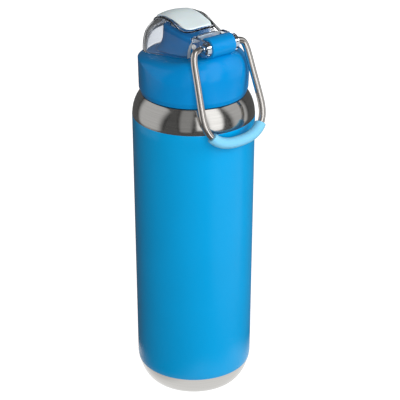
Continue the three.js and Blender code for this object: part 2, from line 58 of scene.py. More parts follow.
MM = 0.001
TURN = 2 * math.pi
HOOD_MIDDLE = 4 * MM
FIT_GAP = 0.3 * MM
THREAD_STEPS = 48
BAND_SHARPNESS = 10
TINY_RADIUS = 1e-7
RISE_START = -25 * MM
RISE_LENGTH = 65 * MM
DOME_END = 0.985
BACK_REACH = 60 * MM
FAR_AWAY = 1e3
LIP_SHARE = 0.985
PAD_UNDERSIDE = 0.97
SPOUT_SQUARENESS = 3.2
HINGE = Vector(next(j for j in frame["joints"] if j["name"] == "hood_flip")["pos_m"])
SHELL_HIGH = Vector(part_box("outer_shell")[1])
LINER_LOW, LINER_HIGH = (Vector(corner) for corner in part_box("inner_liner"))
LID_LOW, LID_HIGH = (Vector(corner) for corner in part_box("lid_shell"))
SPOUT_LOW = Vector(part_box("spout")[0])
PAD_LOW, PAD_HIGH = (Vector(corner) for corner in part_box("hood_pad"))


# ---------- sizes and colours ----------


def length(name, default, description):
    return bpy.props.FloatProperty(
        name=name, description=description, default=default, min=0, precision=5, unit="LENGTH"
    )


def number(name, default, description):
    """A plain number: a share, a power, or degrees or a lens where its description says so."""
    return bpy.props.FloatProperty(name=name, description=description, default=default, unit="NONE")


def colour(name, default, description):
    return bpy.props.FloatVectorProperty(
        name=name, description=description, default=default, size=3, min=0, max=1, subtype="COLOR"
    )


class BottleBodySizes(bpy.types.PropertyGroup):
    radius: length("Radius", SHELL_HIGH.x, "Outside of the straight wall at its top")
    taper: length("Taper", 1.35 * MM, "How much the wall draws in from top to foot")
    wall_top: length("Wall top", 219.6 * MM, "Where the paint ends and the shoulder starts")
    paint_foot: length("Paint foot", 16 * MM, "Where the paint ends above the foot")
    foot_rise: length("Foot rise", 20 * MM, "Height of the rounded foot")
    foot_squareness: number("Foot squareness", 1.6, "2 is round in section and less is more tapered")
    foot_inset: length("Foot inset", 9.5 * MM, "How far the foot draws in")
    foot_lip: length("Foot lip", 4 * MM, "Width of the flat ring it stands on")
    shoulder_round: length("Shoulder round", 27 * MM, "Radius of the shoulder in section")
    ledge_radius: length("Ledge radius", 38.6 * MM, "Edge of the ledge under the lid")
    neck_radius: length("Neck radius", 31.4 * MM, "Outside of the neck")
    neck_height: length("Neck height", 17 * MM, "Ledge to the top of the mouth")
    steel: length("Steel", 0.8 * MM, "Thickness of each steel wall")
    coat: length("Coat", 0.15 * MM, "Thickness of the powder coat")
    thread_pitch: length("Thread pitch", 4 * MM, "Rise of the screw thread in one turn")
    thread_depth: length("Thread depth", 1.6 * MM, "Height of the thread ridge")


class LidSizes(bpy.types.PropertyGroup):
    radius: length("Radius", 39.8 * MM, "Outside of the lid above its lower edge")
    overhang: length("Lower taper", 1.2 * MM, "How far the lower edge draws in")
    chamfer: length("Lower taper height", 3.5 * MM, "Height of the taper at the lower edge")
    flare: length("Flare", 0.4 * MM, "How much the lid widens towards its top")
    wall: length("Wall", 2.2 * MM, "Side wall")
    roof: length("Roof", 2.4 * MM, "Roof")
    deck: length("Deck height", 31 * MM, "Lower edge to the middle of the deck")
    tilt: number("Deck tilt", 0.14, "Rise of the deck towards the back")
    rim_width: length("Rim width", 10 * MM, "How far the rounded rim reaches in over the deck")
    rim_front: length("Front rim", 2 * MM, "Height of the rounded rim at the front")
    rim_back: length("Back rim", 18 * MM, "Height of the rounded rim at the back")
    side_fall: length("Side fall", 7 * MM, "How far the deck falls away at the back's two sides")
    barrel_radius: length("Barrel radius", 7.5 * MM, "Hinge barrel")
    barrel_half: length("Barrel half length", 10.2 * MM, "Middle to each end of the hinge barrel")
    bore_radius: length("Hinge bore", 4.15 * MM, "Radius of the blind bore at each end of the barrel")
    bore_depth: length("Hinge bore depth", 6.2 * MM, "Depth of each blind bore")


class SpoutSizes(bpy.types.PropertyGroup):
    span: length("Length", 37 * MM, "Front to back at the rim")
    half_width: length("Half width", 13.2 * MM, "Middle to side at the rim")
    peak: length("Peak", 20.2 * MM, "Front of the rim above the deck below it")
    fall: number("Fall", 0.12, "Drop of the rim towards the back")
    flare: length("Flare", 4.5 * MM, "How far the foot spreads")
    round: length("Rim round", 1.7 * MM, "Rounding of the rim's edge")
    bore: length("Bore", 9 * MM, "Radius of the drinking bore")
    bore_setback: length("Bore setback", 12.2 * MM, "Spout front to the middle of the bore")
    tube_wall: length("Tube wall", 2.3 * MM, "Wall of the tube that runs down into the lid")


class HoodSizes(bpy.types.PropertyGroup):
    front: length("Front", 37.4 * MM, "Bottle's axis to the front of the hood")
    wall: length("Wall", 2.4 * MM, "Clear wall")
    corner_half: length("Corner half width", 29.5 * MM, "Half width across the front corners")
    back_half: length("Back half width", 18.5 * MM, "Half width at the back edge")
    height: length("Height", 26.3 * MM, "Crown above the deck, over the spout")
    fall: number("Fall", 0.345, "How much nearer the deck the crown comes towards the back")
    back: length("Back edge", 17 * MM, "Bottle's axis to the back edge")
    squareness: number("Squareness", 2.9, "2 is round in section and more is squarer")
    lift: length("Lift", 0.5 * MM, "Gap to the deck")
    lug_radius: length("Lug radius", 6 * MM, "Round end of each hinge arm")
    lug_inner: length("Lug inside", 10.6 * MM, "Middle to the inside of each arm")
    lug_width: length("Lug width", 3.6 * MM, "Thickness of each arm")
    pad_half: length("Pad half width", 12 * MM, "Middle to side of the frosted pad")
    pad_corner: length("Pad corner", 7.5 * MM, "Corner radius of the frosted pad")
    pad_gap: length("Pad gap", 0.3 * MM, "Gap under the frosted pad")
    pad_thickness: length("Pad thickness", 0.9 * MM, "Thickness of the frosted pad")


class HandleSizes(bpy.types.PropertyGroup):
    wire: length("Wire", 5 * MM, "Diameter of the wire")
    leg_top: length("Leg top", 23.2 * MM, "Middle to each leg at the hinge")
    leg_foot: length("Leg foot", 26.3 * MM, "Middle to each leg at the start of the bow")
    leg: length("Leg", 46 * MM, "Hinge axis to the start of the bow")
    bow: length("Bow", 23 * MM, "Start of the bow to its lowest point")
    squareness: number("Bow squareness", 2.48, "2 is an ellipse and more is squarer")
    lean: number("Lean", 20, "Degrees that the hanging handle leans out")
    elbow: length("Elbow", 5.5 * MM, "Radius of the bend at the hinge")
    end: length("Wire end", 4.6 * MM, "Middle to each end of the wire inside the barrel")
    sleeve: length("Sleeve", 8 * MM, "Diameter of the soft sleeve")
    sleeve_start: number("Sleeve start", 0.405, "Share of the bow that is bare wire at each end")


class BottleColours(bpy.types.PropertyGroup):
    paint: colour("Paint", (0.0, 0.305, 0.64), "Powder coat")
    lid: colour("Lid", (0.0, 0.225, 0.56), "Lid and spout")
    steel: colour("Steel", (0.56, 0.55, 0.53), "Bare steel")
    wire: colour("Wire", (0.72, 0.69, 0.66), "Polished wire")
    clear: colour("Clear plastic", (0.90, 0.92, 0.95), "Hood")
    frosted: colour("Frosted pad", (0.78, 0.88, 0.90), "Pad on the hood")
    sleeve: colour("Sleeve", (0.20, 0.53, 0.74), "Soft sleeve")


# ---------- meshes ----------


def show(name, mesh, body, slot, replaced=(), sharp=35, second=None):
    """Makes a piece from a mesh, riding on its body. Faces of index 1 take the second finish."""
    made = finishes()
    for finish in (slot, second) if second else (slot,):
        mesh.materials.append(made[finish])
    mesh.shade_smooth()
    mesh.set_sharp_from_angle(angle=math.radians(sharp))
    piece = bpy.data.objects.new(name, mesh)
    bpy.context.scene.collection.objects.link(piece)
    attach(piece, body)
    if replaced:
        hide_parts(*replaced)
    return piece


def skin(rows, closed=False, tags=None):
    """A mesh of rings of points. A row of one point is a pole. tags gives each band's material."""
    build = bmesh.new()
    rings = [[build.verts.new(point) for point in row] for row in rows]
    bands = list(zip(rings, rings[1:] + rings[:1])) if closed else list(zip(rings, rings[1:]))
    for band, (low, high) in enumerate(bands):
        count = max(len(low), len(high))
        for i in range(count):
            j = (i + 1) % count
            corners = [low[i % len(low)], low[j % len(low)], high[j % len(high)], high[i % len(high)]]
            corners = [v for k, v in enumerate(corners) if v not in corners[:k]]
            if len(corners) > 2:
                face = build.faces.new(corners)
                face.material_index = tags[band] if tags else 0
    bmesh.ops.recalc_face_normals(build, faces=build.faces)
    mesh = bpy.data.meshes.new("skin")
    build.to_mesh(mesh)
    build.free()
    return mesh


def rounded(corners, steps=5, closed=True):
    """A 2D outline from (a, b) or (a, b, radius) corners, with an arc at each corner that has one."""
    points = []
    count = len(corners)
    for i, corner in enumerate(corners):
        here = Vector(corner[:2])
        radius = corner[2] if len(corner) > 2 else 0
        inner = closed or 0 < i < count - 1
        if not radius or not inner:
            points.append(here)
            continue
        before = Vector(corners[i - 1][:2]) - here
        after = Vector(corners[(i + 1) % count][:2]) - here
        half = before.angle(after) / 2
        reach = min(radius / math.tan(half), before.length * 0.49, after.length * 0.49)
        start, end = here + before.normalized() * reach, here + after.normalized() * reach
        for k in range(steps + 1):
            t = k / steps
            points.append((1 - t) ** 2 * start + 2 * t * (1 - t) * here + t ** 2 * end)
    return points


def rectangle(low, high, corner, steps):
    """The outline of a rectangle with rounded corners, from its lowest and highest corner."""
    (a, b), (c, d) = low, high
    return rounded([(a, b, corner), (c, b, corner), (c, d, corner), (a, d, corner)], steps)


def arc(steps, end=math.pi / 2, start=0.0):
    """Evenly spaced angles from start to end, both included."""
    return [start + i / steps * (end - start) for i in range(steps + 1)]


def circle(count):
    return [i * TURN / count for i in range(count)]


def fine(outline, step):
    """The same closed outline with points no further apart than step."""
    points = []
    for here, there in zip(outline, [*outline[1:], outline[0]]):
        count = max(1, math.ceil((there - here).length / step))
        points += [here.lerp(there, k / count) for k in range(count)]
    return points


def turned(outline, segments=128, centre=(0, 0), closed=True, tags=None):
    """Turns an outline of (radius, height) round the vertical through centre."""
    rows = []
    for radius, height in outline:
        angles = circle(segments) if radius > TINY_RADIUS else [0.0]
        x, y = centre
        rows.append([(x + radius * math.sin(a), y - radius * math.cos(a), height) for a in angles])
    return skin(rows, closed=closed and outline[0][0] > TINY_RADIUS, tags=tags)


def along_x(mesh, y, z):
    """Lays a mesh turned round the vertical down along X, through (y, z)."""
    mesh.transform(Matrix.Translation((0, y, z)) @ Matrix.Rotation(math.pi / 2, 4, "Y"))
    return mesh


def swept(path, radii, sides=24):
    """A bar along a path, closed at both ends, with its own radius at each point."""
    rows = [[tuple(path[0])]]
    last = len(path) - 1
    tangents = [(path[min(i + 1, last)] - path[max(i - 1, 0)]).normalized() for i in range(last + 1)]
    across = tangents[0].orthogonal().normalized()
    for point, tangent, radius in zip(path, tangents, radii):
        across = (across - tangent * across.dot(tangent)).normalized()
        other = tangent.cross(across)
        rows.append([
            tuple(point + radius * (math.cos(a) * across + math.sin(a) * other))
            for a in circle(sides)
        ])
    rows.append([tuple(path[-1])])
    return skin(rows)


def smooth_path(points, steps=8):
    """A smooth curve through the points, with steps between each pair."""
    ends = [2 * points[0] - points[1], *points, 2 * points[-1] - points[-2]]
    path = []
    for a, b, c, d in zip(ends, ends[1:], ends[2:], ends[3:]):
        gaps = [max(1e-6, math.sqrt((q - p).length)) for p, q in ((a, b), (b, c), (c, d))]
        before = (b - a) / gaps[0] - (c - a) / (gaps[0] + gaps[1]) + (c - b) / gaps[1]
        after = (c - b) / gaps[1] - (d - b) / (gaps[1] + gaps[2]) + (d - c) / gaps[2]
        m0, m1 = before * gaps[1], after * gaps[1]
        for k in range(steps):
            t = k / steps
            path.append(
                (2 * t ** 3 - 3 * t ** 2 + 1) * b + (t ** 3 - 2 * t ** 2 + t) * m0
                + (3 * t ** 2 - 2 * t ** 3) * c + (t ** 3 - t ** 2) * m1
            )
    return [*path, points[-1]]


def shaped(mesh, operations):
    """Joins meshes to a mesh or cuts them from it."""
    base = bpy.data.objects.new("base", mesh)
    bpy.context.scene.collection.objects.link(base)
    tools = []
    for operation, other in operations:
        tool = bpy.data.objects.new("tool", other)
        bpy.context.scene.collection.objects.link(tool)
        step = base.modifiers.new(operation, "BOOLEAN")
        step.operation = operation
        step.solver = "EXACT"
        step.object = tool
        tools.append(tool)
    bpy.context.view_layer.update()
    graph = bpy.context.evaluated_depsgraph_get()
    result = bpy.data.meshes.new_from_object(base.evaluated_get(graph), depsgraph=graph)
    for used in (base, *tools):
        bpy.data.objects.remove(used)
    if not result.polygons:
        raise RuntimeError("a joined or cut shape came out empty")
    return result


def block(low, high):
    build = bmesh.new()
    bmesh.ops.create_cube(build, size=1)
    middle, size = (Vector(low) + Vector(high)) / 2, Vector(high) - Vector(low)
    for vertex in build.verts:
        vertex.co = middle + Vector(c * s for c, s in zip(vertex.co, size))
    mesh = bpy.data.meshes.new("block")
    build.to_mesh(mesh)
    build.free()
    return mesh


def slab(outline, low, high):
    """A flat outline of (y, z) points, given thickness along X."""
    rows = [[(low, *outline_centre(outline))], [(low, y, z) for y, z in outline],
            [(high, y, z) for y, z in outline], [(high, *outline_centre(outline))]]
    return skin(rows)


def outline_centre(outline):
    return sum(p[0] for p in outline) / len(outline), sum(p[1] for p in outline) / len(outline)


def thread(root, crest, start, pitch, turns):
    """A screw thread's ridge from root radius to crest radius, fading in and out at its ends."""
    steps = int(turns * THREAD_STEPS)
    ridge = [(0, 0.85), (0.55, 0.62), (0.9, 0.42), (1, 0.2)]
    ridge += [(reach, -rise) for reach, rise in reversed(ridge)]
    rows = []
    for step in range(steps + 1):
        angle = step / THREAD_STEPS * TURN
        full = min(1, (min(step, steps - step) + 0.8) / 8)
        full = full * full * (3 - 2 * full)
        height = start + pitch * step / THREAD_STEPS
        ring = []
        for reach, rise in ridge:
            radius = root + (crest - root) * reach * full
            ring.append((radius * math.sin(angle), -radius * math.cos(angle), height + rise * MM))
        rows.append(ring)
    low, high = (tuple(sum(p[k] for p in row) / len(row) for k in range(3)) for row in (rows[0], rows[-1]))
    return skin([[low], *rows, [high]])


def merged(*meshes):
    build = bmesh.new()
    for mesh in meshes:
        build.from_mesh(mesh)
    bmesh.ops.recalc_face_normals(build, faces=build.faces)
    joined = bpy.data.meshes.new("joined")
    build.to_mesh(joined)
    build.free()
    return joined


# ---------- material effects ----------


class Nodes:
    """Adds nodes to a tree. A value put in a socket is set on it, and a socket is linked to it."""

    def __init__(self, tree):
        self.tree = tree

    def add(self, kind, inputs=None, **settings):
        node = self.tree.nodes.new(kind)
        for key, value in settings.items():
            setattr(node, key, value)
        for key, value in (inputs or {}).items():
            self.put(node.inputs[key], value)
        return node

    def put(self, socket, value):
        if isinstance(value, bpy.types.NodeSocket):
            self.tree.links.new(value, socket)
        else:
            socket.default_value = value

    def math(self, operation, a, b=0.0):
        return self.add("ShaderNodeMath", {0: a, 1: b}, operation=operation).outputs[0]

    def weighted(self, a, a_share, b, b_share):
        return self.math("ADD", self.math("MULTIPLY", a, a_share), self.math("MULTIPLY", b, b_share))

    def blend(self, share, a, b):
        """A colour between a and b."""
        node = self.add("ShaderNodeMix", data_type="RGBA")
        self.put(node.inputs[0], share)
        self.put(node.inputs[6], a)
        self.put(node.inputs[7], b)
        return node.outputs[2]

    def noise(self, vector, scale, detail=3.0, roughness=0.5):
        return self.add(
            "ShaderNodeTexNoise",
            {"Vector": vector, "Scale": scale, "Detail": detail, "Roughness": roughness},
        ).outputs["Fac"]

    def stretched(self, vector, factors):
        return self.add("ShaderNodeVectorMath", {0: vector, 1: factors}, operation="MULTIPLY").outputs[0]


def effect(name, inputs, outputs, build):
    """A node group with named number inputs and outputs, built once."""
    if name in bpy.data.node_groups:
        return bpy.data.node_groups[name]
    tree = bpy.data.node_groups.new(name, "ShaderNodeTree")
    for label, value in inputs.items():
        socket = tree.interface.new_socket(label, in_out="INPUT", socket_type="NodeSocketFloat")
        socket.default_value = value
    for label in outputs:
        tree.interface.new_socket(label, in_out="OUTPUT", socket_type="NodeSocketFloat")
    nodes = Nodes(tree)
    start = nodes.add("NodeGroupInput")
    end = nodes.add("NodeGroupOutput")
    place = nodes.add("ShaderNodeTexCoord").outputs["Object"]
    for label, value in build(nodes, place, start.outputs).items():
        nodes.put(end.inputs[label], value)
    return tree


def coat_texture():
    """Powder coat: a fine orange peel with a slight drift of tone."""

    def build(nodes, place, given):
        peel = nodes.noise(place, given["Scale"], 2.0, 0.55)
        fine = nodes.noise(place, nodes.math("MULTIPLY", given["Scale"], 4.3), 1.0)
        height = nodes.weighted(peel, 0.75, fine, 0.25)
        return {"Height": height, "Tone": nodes.noise(place, 24.0, 2.0)}

    return effect("Coat texture", {"Scale": 900.0}, ("Height", "Tone"), build)


def turned_grain():
    """Fine rings left by turning and polishing round the bottle's axis."""

    def build(nodes, place, given):
        split = nodes.add("ShaderNodeSeparateXYZ", {0: place})
        squares = [nodes.math("POWER", split.outputs[axis], 2.0) for axis in (0, 1)]
        radius = nodes.math("SQRT", nodes.math("ADD", *squares))
        turn = nodes.math("ARCTAN2", split.outputs[1], split.outputs[0])
        rings = nodes.add("ShaderNodeCombineXYZ", {
            0: nodes.math("MULTIPLY", radius, given["Density"]),
            1: nodes.math("MULTIPLY", turn, given["Length"]),
            2: nodes.math("MULTIPLY", split.outputs[2], given["Density"]),
        }).outputs[0]
        coarse = nodes.stretched(rings, (0.22, 0.5, 0.22))
        grain = nodes.weighted(nodes.noise(rings, 1.0, 3.0, 0.6), 0.6, nodes.noise(coarse, 1.0, 2.0), 0.4)
        return {"Height": grain, "Shade": nodes.noise(coarse, 1.0, 1.0)}

    return effect("Turned grain", {"Density": 5200.0, "Length": 2.0}, ("Height", "Shade"), build)


def handling_marks():
    """Faint smears that change how sharp a surface reflects."""

    def build(nodes, place, given):
        smear = nodes.noise(nodes.stretched(place, (1.0, 1.0, 0.35)), given["Smear scale"], 4.0, 0.6)
        soft = nodes.add("ShaderNodeMapRange", {"Value": smear, "From Min": 0.42, "From Max": 0.72})
        return {"Smear": soft.outputs[0]}

    return effect("Handling marks", {"Smear scale": 60.0}, ("Smear",), build)


def mould_grain():
    """The satin skin that a mould leaves on plastic or silicone."""

    def build(nodes, place, given):
        fine = nodes.noise(place, given["Scale"], 2.0, 0.6)
        wave = nodes.noise(place, nodes.math("MULTIPLY", given["Scale"], 0.045), 2.0)
        height = nodes.weighted(fine, 0.35, wave, 0.65)
        return {"Height": height, "Tone": nodes.noise(place, 35.0, 2.0)}

    return effect("Mould grain", {"Scale": 2400.0}, ("Height", "Tone"), build)


def placed(nodes, tree, **values):
    node = nodes.add("ShaderNodeGroup", node_tree=tree)
    for key, value in values.items():
        nodes.put(node.inputs[key.replace("_", " ")], value)
    return node.outputs


def new_material(name):
    material = bpy.data.materials.new("finish_" + name)
    material.use_nodes = True
    nodes = Nodes(material.node_tree)
    return material, nodes, material.node_tree.nodes["Principled BSDF"].inputs


def shade(base, factor):
    return (*(min(1, c * factor) for c in base), 1)


def ranged(nodes, value, low, high):
    return nodes.add("ShaderNodeMapRange", {"Value": value, "To Min": low, "To Max": high}).outputs[0]


def bump(nodes, height, distance):
    return nodes.add("ShaderNodeBump", {"Height": height, "Distance": distance, "Strength": 1.0}).outputs[0]


def dress(nodes, skin_in, base, tone, spread, grain, rough, height, depth, smear=None):
    """Colour from tone, roughness from grain and bump from height. smear is its scale and strength."""
    nodes.put(skin_in["Base Color"], nodes.blend(tone, *(shade(base, factor) for factor in spread)))
    roughness = ranged(nodes, grain, *rough)
    if smear:
        marks = placed(nodes, handling_marks(), Smear_scale=smear[0])
        roughness = nodes.math("ADD", roughness, nodes.math("MULTIPLY", marks["Smear"], smear[1]))
    nodes.put(skin_in["Roughness"], roughness)
    nodes.put(skin_in["Normal"], bump(nodes, height, depth))


def powder_coat(colours):
    _, nodes, skin_in = new_material("painted_steel")
    coat = placed(nodes, coat_texture(), Scale=900.0)
    tone = coat["Tone"]
    dress(nodes, skin_in, colours.paint, tone, (0.96, 1.05), tone, (0.18, 0.24),
          coat["Height"], 12e-6, (38.0, 0.05))
    skin_in["Specular IOR Level"].default_value = 0.3


def lid_plastic(colours):
    _, nodes, skin_in = new_material("lid_plastic")
    grain = placed(nodes, mould_grain(), Scale=2200.0)
    tone = grain["Tone"]
    dress(nodes, skin_in, colours.lid, tone, (0.97, 1.04), tone, (0.17, 0.22),
          grain["Height"], 8e-6, (55.0, 0.05))
    skin_in["Specular IOR Level"].default_value = 0.32
    skin_in["Subsurface Weight"].default_value = 0.05
    skin_in["Subsurface Radius"].default_value = (0.0005, 0.001, 0.002)


def bare_steel(colours):
    _, nodes, skin_in = new_material("bare_steel")
    grain = placed(nodes, turned_grain(), Density=5200.0, Length=2.0)
    height = grain["Height"]
    dress(nodes, skin_in, colours.steel, grain["Shade"], (0.9, 1.1), height, (0.10, 0.17),
          height, 2e-6, (70.0, 0.04))
    skin_in["Metallic"].default_value = 1


def polished_wire(colours):
    _, nodes, skin_in = new_material("polished_wire")
    place = nodes.add("ShaderNodeTexCoord").outputs["Object"]
    drawn = nodes.noise(nodes.stretched(place, (1.0, 1.0, 0.05)), 4200.0, 2.0)
    dress(nodes, skin_in, colours.wire, drawn, (0.93, 1.06), drawn, (0.10, 0.17), drawn, 3e-6, (110.0, 0.07))
    skin_in["Metallic"].default_value = 1


def clear_plastic(colours, name="clear_plastic"):
    """Clear moulded plastic. Lamps shine through it."""
    material, nodes, skin_in = new_material(name)
    marks = placed(nodes, handling_marks(), Smear_scale=90.0)
    nodes.put(skin_in["Base Color"], (*colours.clear, 1))
    nodes.put(skin_in["Roughness"], ranged(nodes, marks["Smear"], 0.0, 0.012))
    skin_in["Transmission Weight"].default_value = 1
    skin_in["IOR"].default_value = 1.49
    path = nodes.add("ShaderNodeLightPath")
    lit = nodes.math("MAXIMUM", path.outputs["Is Shadow Ray"], path.outputs["Is Diffuse Ray"])
    through = nodes.add("ShaderNodeBsdfTransparent", {"Color": (0.82, 0.85, 0.88, 1)})
    shown = material.node_tree.nodes["Principled BSDF"].outputs[0]
    mixed = nodes.add("ShaderNodeMixShader", {0: lit, 1: shown, 2: through.outputs[0]})
    nodes.put(material.node_tree.nodes["Material Output"].inputs["Surface"], mixed.outputs[0])


def edge_with_painted_shade():
    """The same plastic for the face where its thickness shows: a little cloudy, and tinted grey-blue, a tint
    that is painted shade for the dark look of the thick edge.
    """
    _, nodes, skin_in = new_material("clear_edge")
    grain = placed(nodes, mould_grain(), Scale=2600.0)
    # grey-blue tint: painted shade for the dark look of the thick clear edge
    painted_shade_tint = nodes.blend(grain["Tone"], (0.45, 0.52, 0.58, 1), (0.62, 0.68, 0.72, 1))
    nodes.put(skin_in["Base Color"], painted_shade_tint)
    nodes.put(skin_in["Roughness"], ranged(nodes, grain["Height"], 0.15, 0.3))
    skin_in["Transmission Weight"].default_value = 0.35
    skin_in["IOR"].default_value = 1.49


def moulded(name, base, roughness, scale=2400.0, depth=0.000010, glow=0.0):
    """A matt plastic or silicone with the mould's grain."""
    _, nodes, skin_in = new_material(name)
    grain = placed(nodes, mould_grain(), Scale=scale)
    height = grain["Height"]
    rough = (roughness - 0.05, roughness + 0.05)
    dress(nodes, skin_in, base, grain["Tone"], (0.95, 1.05), height, rough, height, depth)
    if glow:
        skin_in["Subsurface Weight"].default_value = glow
        skin_in["Subsurface Radius"].default_value = (0.001, 0.0015, 0.002)


def finishes():
    """Every finish by its slot, made once."""
    if "finish_painted_steel" not in bpy.data.materials:
        colours = bpy.context.scene.bottle_colours
        powder_coat(colours)
        lid_plastic(colours)
        bare_steel(colours)
        polished_wire(colours)
        clear_plastic(colours)
        clear_plastic(colours, "seal_glass")
        edge_with_painted_shade()
        moulded("frosted_plastic", colours.frosted, 0.42, 3000.0, 0.000006, glow=0.2)
        moulded("white_plastic", (0.80, 0.81, 0.81), 0.45)
        moulded("pale_silicone", colours.sleeve, 0.5, 1600.0, 0.000016, glow=0.25)
        moulded("grey_silicone", (0.62, 0.65, 0.67), 0.55, 1600.0, 0.000012, glow=0.2)
        moulded("nylon", (0.05, 0.05, 0.055), 0.45)
        moulded("foam", (0.84, 0.80, 0.70), 0.85, 700.0, 0.0002)
        moulded("getter_metal", (0.30, 0.29, 0.27), 0.6, 1500.0, 0.00004)
    made = [m for m in bpy.data.materials if m.name.startswith("finish_")]
    return {m.name.removeprefix("finish_"): m for m in made}


# ---------- shared forms ----------


def ease(t):
    t = min(1, max(0, t))
    return t * t * (3 - 2 * t)


def towards_back(y):
    """0 at the front of the lid and 1 at its back."""
    return ease((y - RISE_START) / RISE_LENGTH)


def deck_height(lid, y, x=0):
    fall = lid.side_fall * (x / lid.radius) ** 2 * towards_back(y)
    return LID_LOW.z + lid.deck + lid.tilt * y - fall


def ledge_height(body):
    centre = body.radius - body.shoulder_round
    return body.wall_top + math.sqrt(body.shoulder_round ** 2 - (body.ledge_radius - centre) ** 2)


def lid_rows(lid, side, roof, bottom, segments=160):
    """Rings of the lid's outside, or of its hollow when moved in by side and down by roof."""
    rim_rows, deck_rows = 22, 14
    radius = lid.radius - side
    crest = radius + lid.flare
    columns = []
    for angle in circle(segments):
        s, c = math.sin(angle), -math.cos(angle)
        drop = lid.rim_front + (lid.rim_back - lid.rim_front) * towards_back(crest * c)
        rim_low = deck_height(lid, crest * c, crest * s) - roof - drop
        side_line = rounded([
            (radius - lid.overhang, bottom),
            (radius, LID_LOW.z + lid.chamfer, 4 * MM),
            (crest, rim_low),
        ], 6, closed=False)
        column = [(r * s, r * c, z) for r, z in side_line]
        for turn in arc(rim_rows)[1:]:
            r = crest - lid.rim_width * (1 - math.cos(turn))
            x, y = r * s, r * c
            drop = lid.rim_front + (lid.rim_back - lid.rim_front) * towards_back(y)
            column.append((x, y, deck_height(lid, y, x) - roof - drop * (1 - math.sin(turn))))
        for k in range(1, deck_rows):
            r = (crest - lid.rim_width) * (1 - k / deck_rows)
            column.append((r * s, r * c, deck_height(lid, r * c, r * s) - roof))
        columns.append(column)
    rows = [list(row) for row in zip(*columns)]
    rows.append([(0, 0, deck_height(lid, 0) - roof)])
    return rows


def hood_reach(hood, angle, grow, middle):
    """Hood's middle to its edge seen from above, moved out by grow."""
    dx, dy = abs(math.sin(angle)), -math.cos(angle)
    radius = hood.front + grow
    front = -middle * dy + math.sqrt(radius ** 2 - (middle * dx) ** 2)
    corner_y = -math.sqrt(hood.front ** 2 - hood.corner_half ** 2)
    side = Vector((hood.back - corner_y, hood.corner_half - hood.back_half)).normalized()
    reach = side.x * hood.corner_half + side.y * (corner_y - middle) + grow
    flank = reach / max(1e-6, side.x * dx + side.y * dy)
    back = BACK_REACH / dy if dy > 1e-6 else FAR_AWAY
    limits = (front, flank if flank > 0 else FAR_AWAY, back)
    return sum(v ** -BAND_SHARPNESS for v in limits) ** (-1 / BAND_SHARPNESS)


def hood_crown(lid, hood, y, grow):
    return deck_height(lid, y) + hood.lift + hood.height - hood.fall * (y + hood.front / 2) + grow


def hood_face(lid, hood, x, y, grow):
    """Height of the hood's face above a point, moved out by grow."""
    reach = hood_reach(hood, math.atan2(x, HOOD_MIDDLE - y), grow, HOOD_MIDDLE)
    share = min(0.999, Vector((x, y - HOOD_MIDDLE)).length / reach)
    low = deck_height(lid, y, x) + hood.lift
    curve = (1 - share ** hood.squareness) ** (1 / hood.squareness)
    return low + (hood_crown(lid, hood, y, grow) - low) * curve


def hood_rows(lid, hood, grow, sink=0, segments=144, dome=30):
    """Rings of the hood as a full dome, from its foot to its crown."""
    middle = HOOD_MIDDLE
    rows = []
    for row in range(dome + 1):
        turn = row / dome * DOME_END * math.pi / 2
        rise = math.sin(turn) ** (2 / hood.squareness)
        ring = []
        for angle in circle(segments):
            reach = hood_reach(hood, angle, grow, middle) * math.cos(turn) ** (2 / hood.squareness)
            x, y = reach * math.sin(angle), middle - reach * math.cos(angle)
            low = deck_height(lid, y, x) + hood.lift
            height = low + (hood_crown(lid, hood, y, grow) - low) * rise
            ring.append((x, y, height - (sink if row == 0 else 0)))
        rows.append(ring)
    rows.append([(0, middle, hood_crown(lid, hood, middle, grow))])
    return rows


def solid_dome(lid, hood, grow, sink=0):
    rows = hood_rows(lid, hood, grow, sink)
    base = sum(p[2] for p in rows[0]) / len(rows[0])
    return skin([[(0, HOOD_MIDDLE, base)], *rows])


# ---------- pieces ----------


class BottlePiece:
    """What every operator here shares."""

    bl_options = {"REGISTER", "UNDO"}


